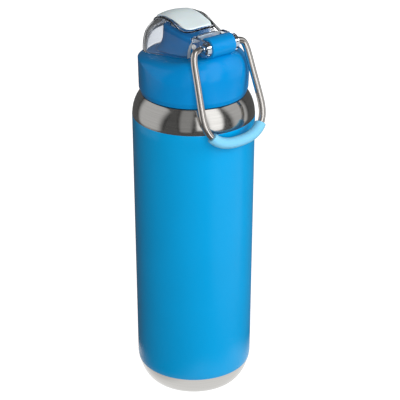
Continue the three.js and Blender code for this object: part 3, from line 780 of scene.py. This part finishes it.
class BOTTLE_OT_outer_wall(BottlePiece, bpy.types.Operator):
    """Painted outer wall with its bare shoulder, neck and foot"""

    bl_idname = "bottle.outer_wall"
    bl_label = "Outer wall"

    def execute(self, context):
        body = context.scene.bottle_body
        rows, tags = [], []

        def run(points, tag):
            rows.extend(points)
            tags.extend([tag] * len(points))

        foot_radius = body.radius - body.taper - body.foot_inset
        ledge = ledge_height(body)
        mouth = ledge + body.neck_height - 1.4 * MM
        centre = body.radius - body.shoulder_round
        steel, coat = body.steel, body.coat

        def foot(inset, steps):
            power = 2 / body.foot_squareness
            return [
                (foot_radius + (body.foot_inset - inset) * math.sin(a) ** power,
                 body.foot_rise - (body.foot_rise - max(0, inset - coat)) * max(0, math.cos(a)) ** power)
                for a in arc(steps)
            ]

        def shoulder(inset, steps):
            reach = body.shoulder_round - inset
            end = math.acos((body.ledge_radius - centre) / body.shoulder_round)
            return [
                (centre + reach * math.cos(a), body.wall_top + reach * math.sin(a))
                for a in arc(steps, end)
            ]

        inner_lip = foot_radius - body.foot_lip
        run([(inner_lip + 0.3 * MM, 0)], 1)
        edge = body.paint_foot
        run([p for p in foot(coat, 40) if p[1] < edge - 0.05 * MM], 1)
        painted = [p for p in foot(0, 40)[:-1] if p[1] > edge + 0.2 * MM]
        line = painted[0][0] - 0.1 * MM
        run([(line - coat, edge - 0.02 * MM)], 1)
        run([(line - 0.05 * MM, edge), (line, edge + 0.12 * MM)], 0)
        run(painted, 0)
        wall_foot = body.radius - body.taper
        wall_steps = 24
        for i in range(wall_steps):
            share = i / wall_steps
            height = body.foot_rise + share * (body.wall_top - body.foot_rise)
            run([(wall_foot + share * body.taper, height)], 0)
        run([(body.radius, body.wall_top - 0.15 * MM)], 0)
        run([(body.radius - 0.05 * MM, body.wall_top)], 1)
        run(shoulder(coat, 24)[:-1], 1)
        brow = shoulder(coat, 24)[-1]
        run(rounded([
            shoulder(coat, 24)[-2], (*brow, 0.8 * MM), (body.neck_radius, brow[1], 1.0 * MM),
            (body.neck_radius, mouth), (body.neck_radius - steel, mouth),
        ], 5, closed=False)[1:], 1)
        run([(body.neck_radius - steel, ledge - steel)], 1)
        run(shoulder(steel + coat, 12)[::-1], 1)
        run(foot(steel + coat, 12)[::-1], 1)
        run([(inner_lip, steel), (inner_lip, 0.3 * MM)], 1)
        wall = turned(rows, 192, tags=tags)
        ridge = thread(body.neck_radius - 0.3 * MM, body.neck_radius + body.thread_depth,
                       ledge + 5 * MM, body.thread_pitch, 1.5)
        for face in ridge.polygons:
            face.material_index = 1
        show("outer_wall", merged(wall, ridge), "bottle", "painted_steel", ["outer_shell"], 40, "bare_steel")
        return {"FINISHED"}


class BOTTLE_OT_inner_vessel(BottlePiece, bpy.types.Operator):
    """Inner vessel with its rolled lip, and the base plate with its seal and getter"""

    bl_idname = "bottle.inner_vessel"
    bl_label = "Inner vessel and base"

    def execute(self, context):
        body = context.scene.bottle_body
        steel = body.steel
        outside = LINER_HIGH.x
        neck = body.neck_radius - steel - FIT_GAP
        top = LINER_HIGH.z
        floor = LINER_LOW.z
        shoulder_low = body.wall_top - 4 * MM
        reach = body.shoulder_round - (body.radius - outside)
        centre = body.radius - body.shoulder_round

        def section(inset):
            radius = body.radius - body.taper - (body.radius - outside) - inset
            low = floor + inset
            corner = 14 * MM
            points = [
                (radius - corner * (1 - math.sin(a)), low + corner * (1 - math.cos(a)))
                for a in arc(10)
            ]
            bend = reach - inset
            end = math.acos((neck - inset - centre) / bend)
            points += [
                (centre + bend * math.cos(a), shoulder_low + bend * math.sin(a))
                for a in arc(14, end)
            ]
            return points

        lip = rounded([
            (neck, top - 3 * MM), (neck, top - 1.1 * MM, 0.2 * MM),
            (body.neck_radius, top - 1.1 * MM, 0.4 * MM),
            (body.neck_radius, top, 0.5 * MM), (neck - steel, top, 0.4 * MM), (neck - steel, top - 3 * MM),
        ], 4, closed=False)
        outline = [(0, floor), *section(0), *lip, *section(steel)[::-1], (0, floor + steel)]
        show("inner_vessel", turned(outline, 160, closed=False), "bottle", "bare_steel", ["inner_liner"], 40)
        self.base(steel)
        return {"FINISHED"}

    def base(self, steel):
        """The base plate with its raised middle and pressed ring, the glass bead and the getter."""
        low, high = (Vector(corner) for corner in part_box("base_cap"))
        rise = high.z - low.z - steel
        edge = high.x
        under, over, press = low.z, low.z + steel, 0.4 * MM
        outline = rounded([
            (1 * MM, under + rise, 0.1 * MM), (10.8 * MM, under + rise, 1 * MM), (12.2 * MM, under, 1 * MM),
            (22 * MM, under, 0.6 * MM), (22.8 * MM, under + press, 0.6 * MM),
            (24.4 * MM, under + press, 0.6 * MM), (25.2 * MM, under, 0.6 * MM), (edge, under, 0.3 * MM),
            (edge, over), (25.4 * MM, over), (24.4 * MM, over + press), (22.8 * MM, over + press),
            (21.8 * MM, over), (12.6 * MM, over, 1 * MM), (11 * MM, over + rise, 1 * MM),
            (1 * MM, over + rise),
        ], 4)
        show("base_plate", turned(outline, 128), "bottle", "bare_steel", ["base_cap"], 45)
        low, high = (Vector(corner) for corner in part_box("vacuum_seal_bead"))
        dome = [(high.x * math.sin(a), high.z - (high.z - low.z) * math.cos(a)) for a in arc(8)]
        bead = turned([*dome, (0, high.z)], 32, closed=False)
        show("seal_bead", bead, "bottle", "seal_glass", ["vacuum_seal_bead"])
        low, high = (Vector(corner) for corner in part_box("vacuum_getter"))
        pill = rounded([
            (0, low.z), (high.x, low.z, 0.4 * MM), (high.x, high.z, 0.3 * MM), (0, high.z),
        ], 4, closed=False)
        show("getter", turned(pill, 40, closed=False), "bottle", "getter_metal", ["vacuum_getter"])


class BOTTLE_OT_lid(BottlePiece, bpy.types.Operator):
    """Blue lid with its hinge barrel"""

    bl_idname = "bottle.lid"
    bl_label = "Lid"

    def execute(self, context):
        lid = context.scene.bottle_lid
        spout = context.scene.bottle_spout
        outside = lid_rows(lid, 0, 0, LID_LOW.z)
        inside = lid_rows(lid, lid.wall, lid.roof, LID_LOW.z)
        lip = [[(x * LIP_SHARE, y * LIP_SHARE, z) for x, y, z in outside[0]]]
        shell = skin([*inside[::-1], *lip, *outside])
        tube = spout.bore + spout.tube_wall + FIT_GAP
        bore_y = SPOUT_LOW.y + spout.flare + spout.bore_setback
        hole = [(0, LID_LOW.z), (tube, LID_LOW.z), (tube, LID_HIGH.z), (0, LID_HIGH.z)]
        hole = turned(hole, 64, (0, bore_y), closed=False)
        shell = shaped(shell, [("DIFFERENCE", hole)])
        half, bore, deep = lid.barrel_half, lid.bore_radius, lid.barrel_half - lid.bore_depth
        radius = lid.barrel_radius
        barrel = rounded([
            (0, -deep), (bore, -deep, 0.3 * MM), (bore, -half, 0.3 * MM), (radius, -half, 0.7 * MM),
            (radius, half, 0.7 * MM), (bore, half, 0.3 * MM), (bore, deep, 0.3 * MM), (0, deep),
        ], 5, closed=False)
        barrel = along_x(turned(barrel, 96, closed=False), HINGE.y, HINGE.z)
        show("lid_cover", merged(shell), "lid", "lid_plastic", ["lid_shell"], 40)
        show("hinge_barrel", barrel, "lid", "lid_plastic", sharp=40)
        return {"FINISHED"}


class BOTTLE_OT_lid_inside(BottlePiece, bpy.types.Operator):
    """Threaded liner, foam, gasket, spout seal and hinge bushes"""

    bl_idname = "bottle.lid_inside"
    bl_label = "Inside of the lid"

    def execute(self, context):
        for node, slot in (("lid_threaded_liner", "white_plastic"), ("lid_insulation", "foam")):
            mesh = frame["nodes"][node].data
            mesh.materials.clear()
            mesh.materials.append(finishes()[slot])
        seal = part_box("spout_seal")
        for name, node, body, centre_y in (
            ("mouth_gasket", "lid_gasket", "gasket_ring", 0),
            ("tube_seal", "spout_seal", "lid", (seal[0][1] + seal[1][1]) / 2),
        ):
            low, high = (Vector(corner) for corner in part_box(node))
            outer = high.x
            inner = outer - (3.6 * MM if node == "lid_gasket" else 1.7 * MM)
            ring = rectangle((inner, low.z), (outer, high.z), 0.5 * MM, 5)
            show(name, turned(ring, 128, (0, centre_y)), body, "grey_silicone", [node])
        for side in ("left", "right"):
            low, high = (Vector(corner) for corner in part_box("hinge_bush_" + side))
            outer = (high.z - low.z) / 2
            ring = rectangle((outer - 1 * MM, low.x), (outer, high.x), 0.2 * MM, 4)
            bush = along_x(turned([(r, -x) for r, x in ring], 48), HINGE.y, HINGE.z)
            show("bush_" + side, bush, "lid", "nylon", ["hinge_bush_" + side])
        return {"FINISHED"}


class BOTTLE_OT_spout(BottlePiece, bpy.types.Operator):
    """Drinking spout with its rounded rim, bore and tube"""

    bl_idname = "bottle.spout"
    bl_label = "Spout"

    def execute(self, context):
        lid = context.scene.bottle_lid
        spout = context.scene.bottle_spout
        front = SPOUT_LOW.y + spout.flare
        middle = front + spout.span / 2
        bore_y = front + spout.bore_setback
        tube_foot = SPOUT_LOW.z

        def outline(angle, grow):
            """Middle to the spout's edge seen from above, moved out by grow."""
            half_length, half_width = spout.span / 2 + grow, spout.half_width + grow
            s, c = abs(math.sin(angle)) / half_width, abs(math.cos(angle)) / half_length
            return (s ** SPOUT_SQUARENESS + c ** SPOUT_SQUARENESS) ** (-1 / SPOUT_SQUARENESS)

        def rim(y):
            return deck_height(lid, front) + spout.peak - spout.fall * (y - front)

        def at(angle, reach):
            return reach * math.sin(angle), middle - reach * math.cos(angle)

        angles = circle(120)
        rows = []
        side_rows = 26
        for k in range(side_rows + 1):
            share = k / side_rows
            spread = max(0, 1 - share / 0.72) ** 3
            ring = []
            for angle in angles:
                x, y = at(angle, outline(angle, spout.flare * spread))
                low = deck_height(lid, y, x) + FIT_GAP
                ring.append((x, y, low + (rim(y) - spout.round - low) * share))
            rows.append(ring)
        for turn in arc(8)[1:]:
            ring = []
            for angle in angles:
                x, y = at(angle, outline(angle, -spout.round * (1 - math.cos(turn))))
                ring.append((x, y, rim(y) - spout.round * (1 - math.sin(turn))))
            rows.append(ring)

        def bore_point(angle, radius):
            return radius * math.sin(angle), bore_y - radius * math.cos(angle)

        lip = 0.9 * MM
        for k in range(1, 7):
            ring = []
            for angle in angles:
                ax, ay = at(angle, outline(angle, -spout.round))
                bx, by = bore_point(angle, spout.bore + lip)
                x, y = ax + (bx - ax) * k / 6, ay + (by - ay) * k / 6
                ring.append((x, y, rim(y)))
            rows.append(ring)
        for turn in arc(5)[1:]:
            ring = []
            for angle in angles:
                x, y = bore_point(angle, spout.bore + lip * (1 - math.sin(turn)))
                ring.append((x, y, rim(y) - lip * (1 - math.cos(turn))))
            rows.append(ring)
        deck_low = deck_height(lid, bore_y) - 1 * MM
        tube = spout.bore + spout.tube_wall
        bevel = 0.3 * MM
        for radius, height in ((spout.bore, deck_low), (spout.bore, tube_foot + bevel),
                               (spout.bore + bevel, tube_foot), (tube - bevel, tube_foot),
                               (tube, tube_foot + bevel), (tube, deck_low)):
            rows.append([(*bore_point(angle, radius), height) for angle in angles])
        tubed = []
        for angle in angles:
            x, y = bore_point(angle, tube)
            tubed.append((x, y, deck_height(lid, y, x) + FIT_GAP))
        rows.append(tubed)
        show("drinking_spout", skin(rows, closed=True), "lid", "lid_plastic", ["spout"], 50)
        return {"FINISHED"}


class BOTTLE_OT_hood(BottlePiece, bpy.types.Operator):
    """Clear flip hood with its hinge arms and the bar above the barrel"""

    bl_idname = "bottle.hood"
    bl_label = "Clear hood"

    def execute(self, context):
        lid = context.scene.bottle_lid
        hood = context.scene.bottle_hood
        outer = solid_dome(lid, hood, 0)
        inner = solid_dome(lid, hood, -hood.wall, 6 * MM)
        far = 0.2
        behind = block((-far, hood.back, 0), (far, far, 2 * far))
        shell = shaped(outer, [("DIFFERENCE", inner), ("DIFFERENCE", behind)])
        brow_block = block((-hood.lug_inner - 1 * MM, hood.back - 3 * MM, HINGE.z + 1 * MM),
                           (hood.lug_inner + 1 * MM, hood.back, far * 2))
        brow = shaped(solid_dome(lid, hood, -0.05 * MM), [("INTERSECT", brow_block)])
        arm = self.arm_outline(hood)
        low, high = hood.lug_inner, hood.lug_inner + hood.lug_width
        bore = 2.85 * MM
        hole = turned([(0, -far), (bore, -far), (bore, far), (0, far)], 48, closed=False)
        hole = along_x(hole, HINGE.y, HINGE.z)
        joined = shaped(shell, [
            ("UNION", slab(arm, low, high)), ("UNION", slab(arm, -high, -low)),
            ("UNION", brow), ("UNION", self.pad_seat(lid, hood)), ("DIFFERENCE", hole),
        ])
        # the flat back edge faces take the edge finish, whose grey-blue tint is painted shade
        for face in joined.polygons:
            face.material_index = int(face.normal.y > 0.97 and face.center.y > hood.back - 0.1 * MM)
        show("clear_hood", joined, "hood", "clear_plastic", ["hood_shell"], 32, "clear_edge")
        return {"FINISHED"}

    def pad_seat(self, lid, hood):
        """A rounded rim that frames the frosted pad."""
        gap, radius = 1.5 * MM, 1.15 * MM
        half, corner = hood.pad_half + gap, hood.pad_corner + gap
        front, back = PAD_LOW.y - gap * 0.6, PAD_HIGH.y + gap
        outline = fine(rectangle((-half, front), (half, back), corner, 10), 1 * MM)
        path = [Vector((p.x, p.y, hood_face(lid, hood, p.x, p.y, -0.25 * MM))) for p in outline]
        rows = []
        for before, here, after in zip([path[-1], *path[:-1]], path, [*path[1:], path[0]]):
            along = (after - before).normalized()
            out = along.cross(Vector((0, 0, 1))).normalized()
            up = out.cross(along)
            rows.append([
                tuple(here + radius * (math.cos(a) * out + math.sin(a) * up))
                for a in circle(12)
            ])
        return skin(rows, closed=True)

    def arm_outline(self, hood):
        y, z, r = HINGE.y, HINGE.z, hood.lug_radius
        points = [
            (hood.back - 1.4 * MM, z + r / 3), (hood.back - 1.4 * MM, z - r * 0.3),
            (hood.back + 1 * MM, z - r * 2 / 3), (y - r / 3, z - r * 0.94),
        ]
        points += [
            (y + r * math.cos(a), z + r * math.sin(a)) for a in arc(24, 0.5 * math.pi, -0.6 * math.pi)
        ]
        return [*points, (hood.back - 1 * MM, z + r * 0.87)]


class BOTTLE_OT_hood_pad(BottlePiece, bpy.types.Operator):
    """Frosted pad on the hood's crown"""

    bl_idname = "bottle.hood_pad"
    bl_label = "Hood pad"

    def execute(self, context):
        lid = context.scene.bottle_lid
        hood = context.scene.bottle_hood
        half, corner = hood.pad_half, hood.pad_corner
        front, back = PAD_LOW.y, PAD_HIGH.y
        outline = fine(rectangle((-half, front), (half, back), corner, 10), 1 * MM)
        middle = Vector((0, (front + back) / 2))
        rows = []
        top, bottom = hood.pad_gap + hood.pad_thickness, hood.pad_gap
        steps = 12
        edge_round = 0.45 * MM
        for k in range(steps + 1):
            share = k / steps
            spots = [middle + (p - middle) * share * PAD_UNDERSIDE for p in outline] if k else [middle]
            rows.append([(*spot, bottom) for spot in spots])
        for drop in (0.0, 0.33, 0.66, 1.0):
            turn = drop * math.pi / 2
            grow = bottom + (top - bottom) * (0.3 + 0.7 * math.sin(turn))
            share = 1 - edge_round / half * (1 - math.cos(turn))
            rows.append([(*(middle + (p - middle) * share), grow) for p in outline])
        for k in range(steps - 1, -1, -1):
            share = k / steps * (1 - edge_round / half)
            spots = [middle + (p - middle) * share for p in outline] if k else [middle]
            rows.append([(*spot, top) for spot in spots])
        placed_rows = [[(x, y, hood_face(lid, hood, x, y, grow)) for x, y, grow in row] for row in rows]
        show("frosted_pad", skin(placed_rows), "hood", "frosted_plastic", ["hood_pad"], 50)
        return {"FINISHED"}


class BOTTLE_OT_stopper(BottlePiece, bpy.types.Operator):
    """Stem and soft plug that close the spout"""

    bl_idname = "bottle.stopper"
    bl_label = "Stopper"

    def execute(self, context):
        low, high = (Vector(corner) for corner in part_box("stopper_seal"))
        centre_y = (low.y + high.y) / 2
        radius = high.x
        stem_low, stem_high = (Vector(corner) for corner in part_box("stopper_stem"))
        pocket = stem_high.x + FIT_GAP
        plug = rounded([
            (0, low.z), (radius - 1.2 * MM, low.z, 0.7 * MM),
            (radius - 0.5 * MM, low.z + 1.2 * MM, 0.5 * MM),
            (radius - 0.9 * MM, low.z + 1.7 * MM, 0.3 * MM), (radius, low.z + 2.3 * MM, 0.5 * MM),
            (radius, high.z, 0.5 * MM), (pocket, high.z, 0.2 * MM), (pocket, stem_low.z - FIT_GAP),
            (0, stem_low.z - FIT_GAP),
        ], 4, closed=False)
        plug = turned(plug, 96, (0, centre_y), closed=False)
        show("soft_plug", plug, "hood", "grey_silicone", ["stopper_seal"])
        stem = rounded([
            (0, stem_low.z), (stem_high.x, stem_low.z, 0.4 * MM), (stem_high.x, stem_high.z - 1.0 * MM),
            (0, stem_high.z - 0.6 * MM),
        ], 4, closed=False)
        stem = turned(stem, 64, (0, centre_y), closed=False)
        show("plug_stem", stem, "hood", "clear_plastic", ["stopper_stem"])
        return {"FINISHED"}


class BOTTLE_OT_detents(BottlePiece, bpy.types.Operator):
    """Round buttons on the outside of the hood's arms"""

    bl_idname = "bottle.detents"
    bl_label = "Detent buttons"

    def execute(self, context):
        for side, sign in (("left", -1), ("right", 1)):
            low, high = (Vector(corner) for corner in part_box("hood_detent_" + side))
            centre_y, centre_z = (low.y + high.y) / 2, (low.z + high.z) / 2
            radius = (high.z - low.z) / 2
            inner, outer = sorted((abs(low.x), abs(high.x)))
            face = outer - 0.8 * MM
            button = rounded([
                (0, inner), (1.1 * MM, inner, 0.2 * MM), (1.1 * MM, face), (radius, face, 0.15 * MM),
                (radius, outer, 0.5 * MM), (radius * 0.62, outer, 0.3 * MM),
                (radius * 0.45, outer - 0.45 * MM, 0.3 * MM), (0, outer - 0.45 * MM),
            ], 5, closed=False)
            mesh = along_x(turned([(r, x * sign) for r, x in button], 48, closed=False), centre_y, centre_z)
            show("detent_" + side, mesh, "hood", "white_plastic", ["hood_detent_" + side])
        return {"FINISHED"}


def hanging(handle, x, down):
    lean = math.radians(handle.lean)
    return HINGE + Vector((x, down * math.sin(lean), -down * math.cos(lean)))


def bow_point(handle, side, share):
    """One side of the bow: share 0 is the end of the leg and share 1 the lowest point."""
    angle = share * math.pi / 2
    out = max(0, math.cos(angle)) ** (2 / handle.squareness)
    down = math.sin(angle) ** (2 / handle.squareness)
    return hanging(handle, side * handle.leg_foot * out, handle.leg + handle.bow * down)


BOW_SHARES = (0.06, 0.14, 0.22, 0.32, 0.42, 0.54, 0.66, 0.78, 0.9)


class BOTTLE_OT_handle_wire(BottlePiece, bpy.types.Operator):
    """Bent wire of the bail handle"""

    bl_idname = "bottle.handle_wire"
    bl_label = "Handle wire"

    def execute(self, context):
        handle = context.scene.bottle_handle

        def half(side):
            return [
                HINGE + Vector((side * handle.end, 0, 0)),
                HINGE + Vector((side * (handle.leg_top - handle.elbow), 0, 0)),
                hanging(handle, side * (handle.leg_top - 0.3 * handle.elbow), 0.3 * handle.elbow),
                hanging(handle, side * handle.leg_top, handle.elbow),
                hanging(handle, side * (handle.leg_top + handle.leg_foot) / 2, handle.leg / 2),
                hanging(handle, side * handle.leg_foot, handle.leg),
                *(bow_point(handle, side, share) for share in BOW_SHARES),
            ]

        path = smooth_path([*half(-1), bow_point(handle, 1, 1), *half(1)[::-1]], 8)
        radius = handle.wire / 2
        ends = [radius * 0.72, radius * 0.95, radius]
        radii = [ends[min(i, 2)] if i < 3 else ends[min(len(path) - 1 - i, 2)] for i in range(len(path))]
        show("bail_wire", swept(path, radii, 28), "handle", "polished_wire", ["handle_wire"], 60)
        return {"FINISHED"}


class BOTTLE_OT_handle_sleeve(BottlePiece, bpy.types.Operator):
    """Soft sleeve on the bow of the handle"""

    bl_idname = "bottle.handle_sleeve"
    bl_label = "Handle sleeve"

    def execute(self, context):
        handle = context.scene.bottle_handle
        steps = 60
        start = handle.sleeve_start

        def share_at(i):
            return start + (1 - start) * (1 - abs(1 - 2 * i / steps))

        path = []
        for i in range(steps + 1):
            side = -1 if i < steps / 2 else 1
            path.append(bow_point(handle, side, share_at(i)))
        radius = handle.sleeve / 2
        edge = 0.5 * MM
        spots, radii = [], []
        for turn in arc(5):
            spots.append(path[0].lerp(path[1], edge * (1 - math.cos(turn)) / (path[1] - path[0]).length))
            radii.append(radius - edge * (1 - math.sin(turn)))
        tail = [path[-1].lerp(path[-2], (p - path[0]).length / (path[-1] - path[-2]).length) for p in spots]
        spots = [*spots, *path[1:-1], *tail[::-1]]
        radii = [*radii, *[radius] * (len(path) - 2), *radii[::-1]]
        show("soft_sleeve", swept(spots, radii, 32), "handle", "pale_silicone", ["handle_sleeve"], 50)
        return {"FINISHED"}


# ---------- stage ----------


SENSOR_WIDTH = 36
LAMP_AIM = 0.16
CARD_AIM = 0.2
FLOOR_TONE = 0.3
FLOOR_GLOW = 0.93
ROOM_LIGHT = 0.16
ROOM_GLOSS = 0.11


class BottleStageSettings(bpy.types.PropertyGroup):
    azimuth: number("Azimuth", 142.5, "Degrees round the bottle to the camera")
    distance: length("Distance", 1.060, "Bottle's axis to the camera, along the floor")
    height: length("Height", 0.665, "Camera above the floor")
    aim: length("Aim height", 0.1478, "Where the camera's axis meets the bottle's axis")
    drift: length("Aim drift", 0.00466, "How far to the right of the axis the camera aims")
    lens: number("Lens", 141.37, "Focal length in millimetres on a 36 mm wide sensor")
    backdrop: colour("Backdrop", (1.0, 1.0, 1.0), "Colour seen behind the bottle")


def round_the_bottle(azimuth, distance, height):
    a = math.radians(azimuth)
    return Vector((distance * math.sin(a), -distance * math.cos(a), height))


def facing(location, target):
    return (target - location).to_track_quat("-Z", "Y").to_euler()


class BOTTLE_OT_stage(BottlePiece, bpy.types.Operator):
    """Camera, floor, soft lamps and reflector cards"""

    bl_idname = "bottle.stage"
    bl_label = "Stage"

    def execute(self, context):
        stage = context.scene.bottle_stage
        scene = context.scene
        scene.view_settings.view_transform = "Standard"
        self.camera(scene, stage)
        self.floor(scene)
        self.world(scene, stage)
        for name, turn, distance, height, size, power in (
            ("front", 7, 1.2, 0.65, 0.9, 16.0),
            ("key", 78, 1.2, 0.65, 0.9, 11.5),
            ("back", 165, 1.2, 0.75, 0.7, 6.0),
        ):
            self.lamp(scene, name, stage.azimuth + turn, distance, height, size, power)
        for name, turn, distance, height, width, tall, power in (
            ("right_high", 41, 0.85, 0.60, 0.66, 1.50, 1.55),
            ("left_high", -90, 0.90, 0.42, 1.45, 1.40, 0.66),
            ("front", -14, 1.00, 0.60, 0.62, 1.60, 0.36),
            ("top", 0, 0.20, 1.30, 0.40, 0.80, 0.35),
            ("far_right", 95, 0.90, 0.45, 1.00, 1.30, 0.62),
            ("streak", 13, 0.95, 0.46, 0.34, 0.80, 1.25),
            ("right_low", 68, 0.80, -0.26, 1.55, 0.30, 0.62),
        ):
            self.card(scene, name, stage.azimuth + turn, distance, height, width, tall, power)
        radius = 0.085
        disc = [(radius * math.sin(a), radius * math.cos(a), 0) for a in circle(48)]
        under = self.glow(scene, "under", skin([[(0, 0, 0)], disc]), 1.05)
        under.location = round_the_bottle(stage.azimuth + 60, 0.013, 0.0002)
        behind = self.card(scene, "behind", stage.azimuth + 180, 0.75, 0.0004, 0.70, 1.30, 0.95)
        behind.rotation_euler = (0, 0, math.radians(stage.azimuth))
        behind.visible_glossy = False
        behind.visible_transmission = True
        return {"FINISHED"}

    def camera(self, scene, stage):
        data = bpy.data.cameras.new("camera")
        data.lens = stage.lens
        data.sensor_width = SENSOR_WIDTH
        camera = bpy.data.objects.new("camera", data)
        scene.collection.objects.link(camera)
        right = Vector((math.cos(math.radians(stage.azimuth)), math.sin(math.radians(stage.azimuth)), 0))
        target = Vector((0, 0, stage.aim)) + right * stage.drift
        camera.location = round_the_bottle(stage.azimuth, stage.distance, stage.height)
        camera.rotation_euler = facing(camera.location, target)
        scene.camera = camera

    def floor(self, scene):
        reach = 6.0
        mesh = bpy.data.meshes.new("floor")
        corners = [(-reach, -reach, 0), (reach, -reach, 0), (reach, reach, 0), (-reach, reach, 0)]
        mesh.from_pydata(corners, [], [(0, 1, 2, 3)])
        floor = bpy.data.objects.new("floor", mesh)
        scene.collection.objects.link(floor)
        floor.visible_glossy = False
        material, nodes, skin_in = new_material("floor")
        skin_in["Base Color"].default_value = (FLOOR_TONE, FLOOR_TONE, FLOOR_TONE, 1)
        skin_in["Roughness"].default_value = 0.8
        skin_in["Emission Color"].default_value = (1, 1, 1, 1)
        seen = nodes.add("ShaderNodeLightPath").outputs["Is Camera Ray"]
        nodes.put(skin_in["Emission Strength"], nodes.math("MULTIPLY", seen, FLOOR_GLOW))
        mesh.materials.append(material)
        material.cycles.emission_sampling = "NONE"

    def world(self, scene, stage):
        world = bpy.data.worlds.new("studio")
        world.use_nodes = True
        scene.world = world
        nodes = Nodes(world.node_tree)
        path = nodes.add("ShaderNodeLightPath")
        seen = path.outputs["Is Camera Ray"]
        backdrop = nodes.blend(seen, (ROOM_LIGHT, ROOM_LIGHT, ROOM_LIGHT, 1), (*stage.backdrop, 1))
        dark = nodes.blend(path.outputs["Is Glossy Ray"], backdrop, (ROOM_GLOSS, ROOM_GLOSS, ROOM_GLOSS, 1))
        nodes.put(world.node_tree.nodes["Background"].inputs["Color"], dark)
        world.cycles.sampling_method = "NONE"

    def lamp(self, scene, name, azimuth, distance, height, size, power):
        data = bpy.data.lights.new(name, "AREA")
        data.shape = "SQUARE"
        data.size = size
        data.energy = power
        lamp = bpy.data.objects.new(name, data)
        scene.collection.objects.link(lamp)
        lamp.location = round_the_bottle(azimuth, distance, height)
        lamp.rotation_euler = facing(lamp.location, Vector((0, 0, LAMP_AIM)))
        lamp.visible_glossy = False
        lamp.visible_camera = False

    def card(self, scene, name, azimuth, distance, height, width, tall, power):
        """A glowing card with rounded corners."""
        corner = min(width, tall) / 4
        outline = rectangle((-width / 2, -tall / 2), (width / 2, tall / 2), corner, 6)
        mesh = skin([[(0, 0, 0)], [(x, y, 0) for x, y in outline]])
        card = self.glow(scene, name, mesh, power)
        card.location = round_the_bottle(azimuth, distance, height)
        card.rotation_euler = facing(card.location, Vector((0, 0, CARD_AIM)))
        return card

    def glow(self, scene, name, mesh, power):
        """A glowing sheet that only reflections see, fading towards its edges."""
        card = bpy.data.objects.new("card_" + name, mesh)
        scene.collection.objects.link(card)
        for ray in ("camera", "diffuse", "transmission", "shadow", "volume_scatter"):
            setattr(card, "visible_" + ray, False)
        material = bpy.data.materials.new("card_" + name)
        material.use_nodes = True
        nodes = Nodes(material.node_tree)
        spot = nodes.add("ShaderNodeSeparateXYZ", {0: nodes.add("ShaderNodeTexCoord").outputs["Generated"]})
        edges = []
        for axis, level in ((0, 0.24), (1, 0.40)):
            out = nodes.math("ABSOLUTE", nodes.math("SUBTRACT", spot.outputs[axis], 0.5))
            edges.append(nodes.add("ShaderNodeMapRange", {
                "Value": out, "From Min": 0.5, "From Max": level, "To Min": 0.0, "To Max": 1.0,
            }, interpolation_type="SMOOTHSTEP").outputs[0])
        strength = nodes.math("MULTIPLY", nodes.math("MULTIPLY", *edges), power)
        glow = nodes.add("ShaderNodeEmission", {"Color": (1, 1, 1, 1), "Strength": strength})
        nodes.put(material.node_tree.nodes["Material Output"].inputs["Surface"], glow.outputs[0])
        material.cycles.emission_sampling = "NONE"
        mesh.materials.append(material)
        return card


# ---------- panel and registration ----------

OPERATORS = (
    BOTTLE_OT_outer_wall, BOTTLE_OT_inner_vessel, BOTTLE_OT_lid, BOTTLE_OT_lid_inside, BOTTLE_OT_spout,
    BOTTLE_OT_hood, BOTTLE_OT_hood_pad, BOTTLE_OT_stopper, BOTTLE_OT_detents, BOTTLE_OT_handle_wire,
    BOTTLE_OT_handle_sleeve, BOTTLE_OT_stage,
)
SETTINGS = {
    "bottle_body": BottleBodySizes,
    "bottle_lid": LidSizes,
    "bottle_spout": SpoutSizes,
    "bottle_hood": HoodSizes,
    "bottle_handle": HandleSizes,
    "bottle_colours": BottleColours,
    "bottle_stage": BottleStageSettings,
}


class BOTTLE_PT_panel(bpy.types.Panel):
    """Lists the bottle's pieces and their sizes"""

    bl_idname = "BOTTLE_PT_panel"
    bl_label = "Insulated bottle"
    bl_space_type = "VIEW_3D"
    bl_region_type = "UI"
    bl_category = "Bottle"

    def draw(self, context):
        for operator in OPERATORS:
            self.layout.operator(operator.bl_idname)
        for name, group in SETTINGS.items():
            box = self.layout.box()
            settings = getattr(context.scene, name)
            for key in group.__annotations__:
                box.prop(settings, key)


def register():
    for cls in (*SETTINGS.values(), *OPERATORS, BOTTLE_PT_panel):
        bpy.utils.register_class(cls)
    for name, group in SETTINGS.items():
        setattr(bpy.types.Scene, name, bpy.props.PointerProperty(type=group))


def unregister():
    for name in SETTINGS:
        delattr(bpy.types.Scene, name)
    for cls in (BOTTLE_PT_panel, *OPERATORS, *reversed(SETTINGS.values())):
        bpy.utils.unregister_class(cls)


def main():
    register()
    for operator in OPERATORS:
        getattr(bpy.ops.bottle, operator.bl_idname.split(".")[1])()


if __name__ == "__main__":
    main()
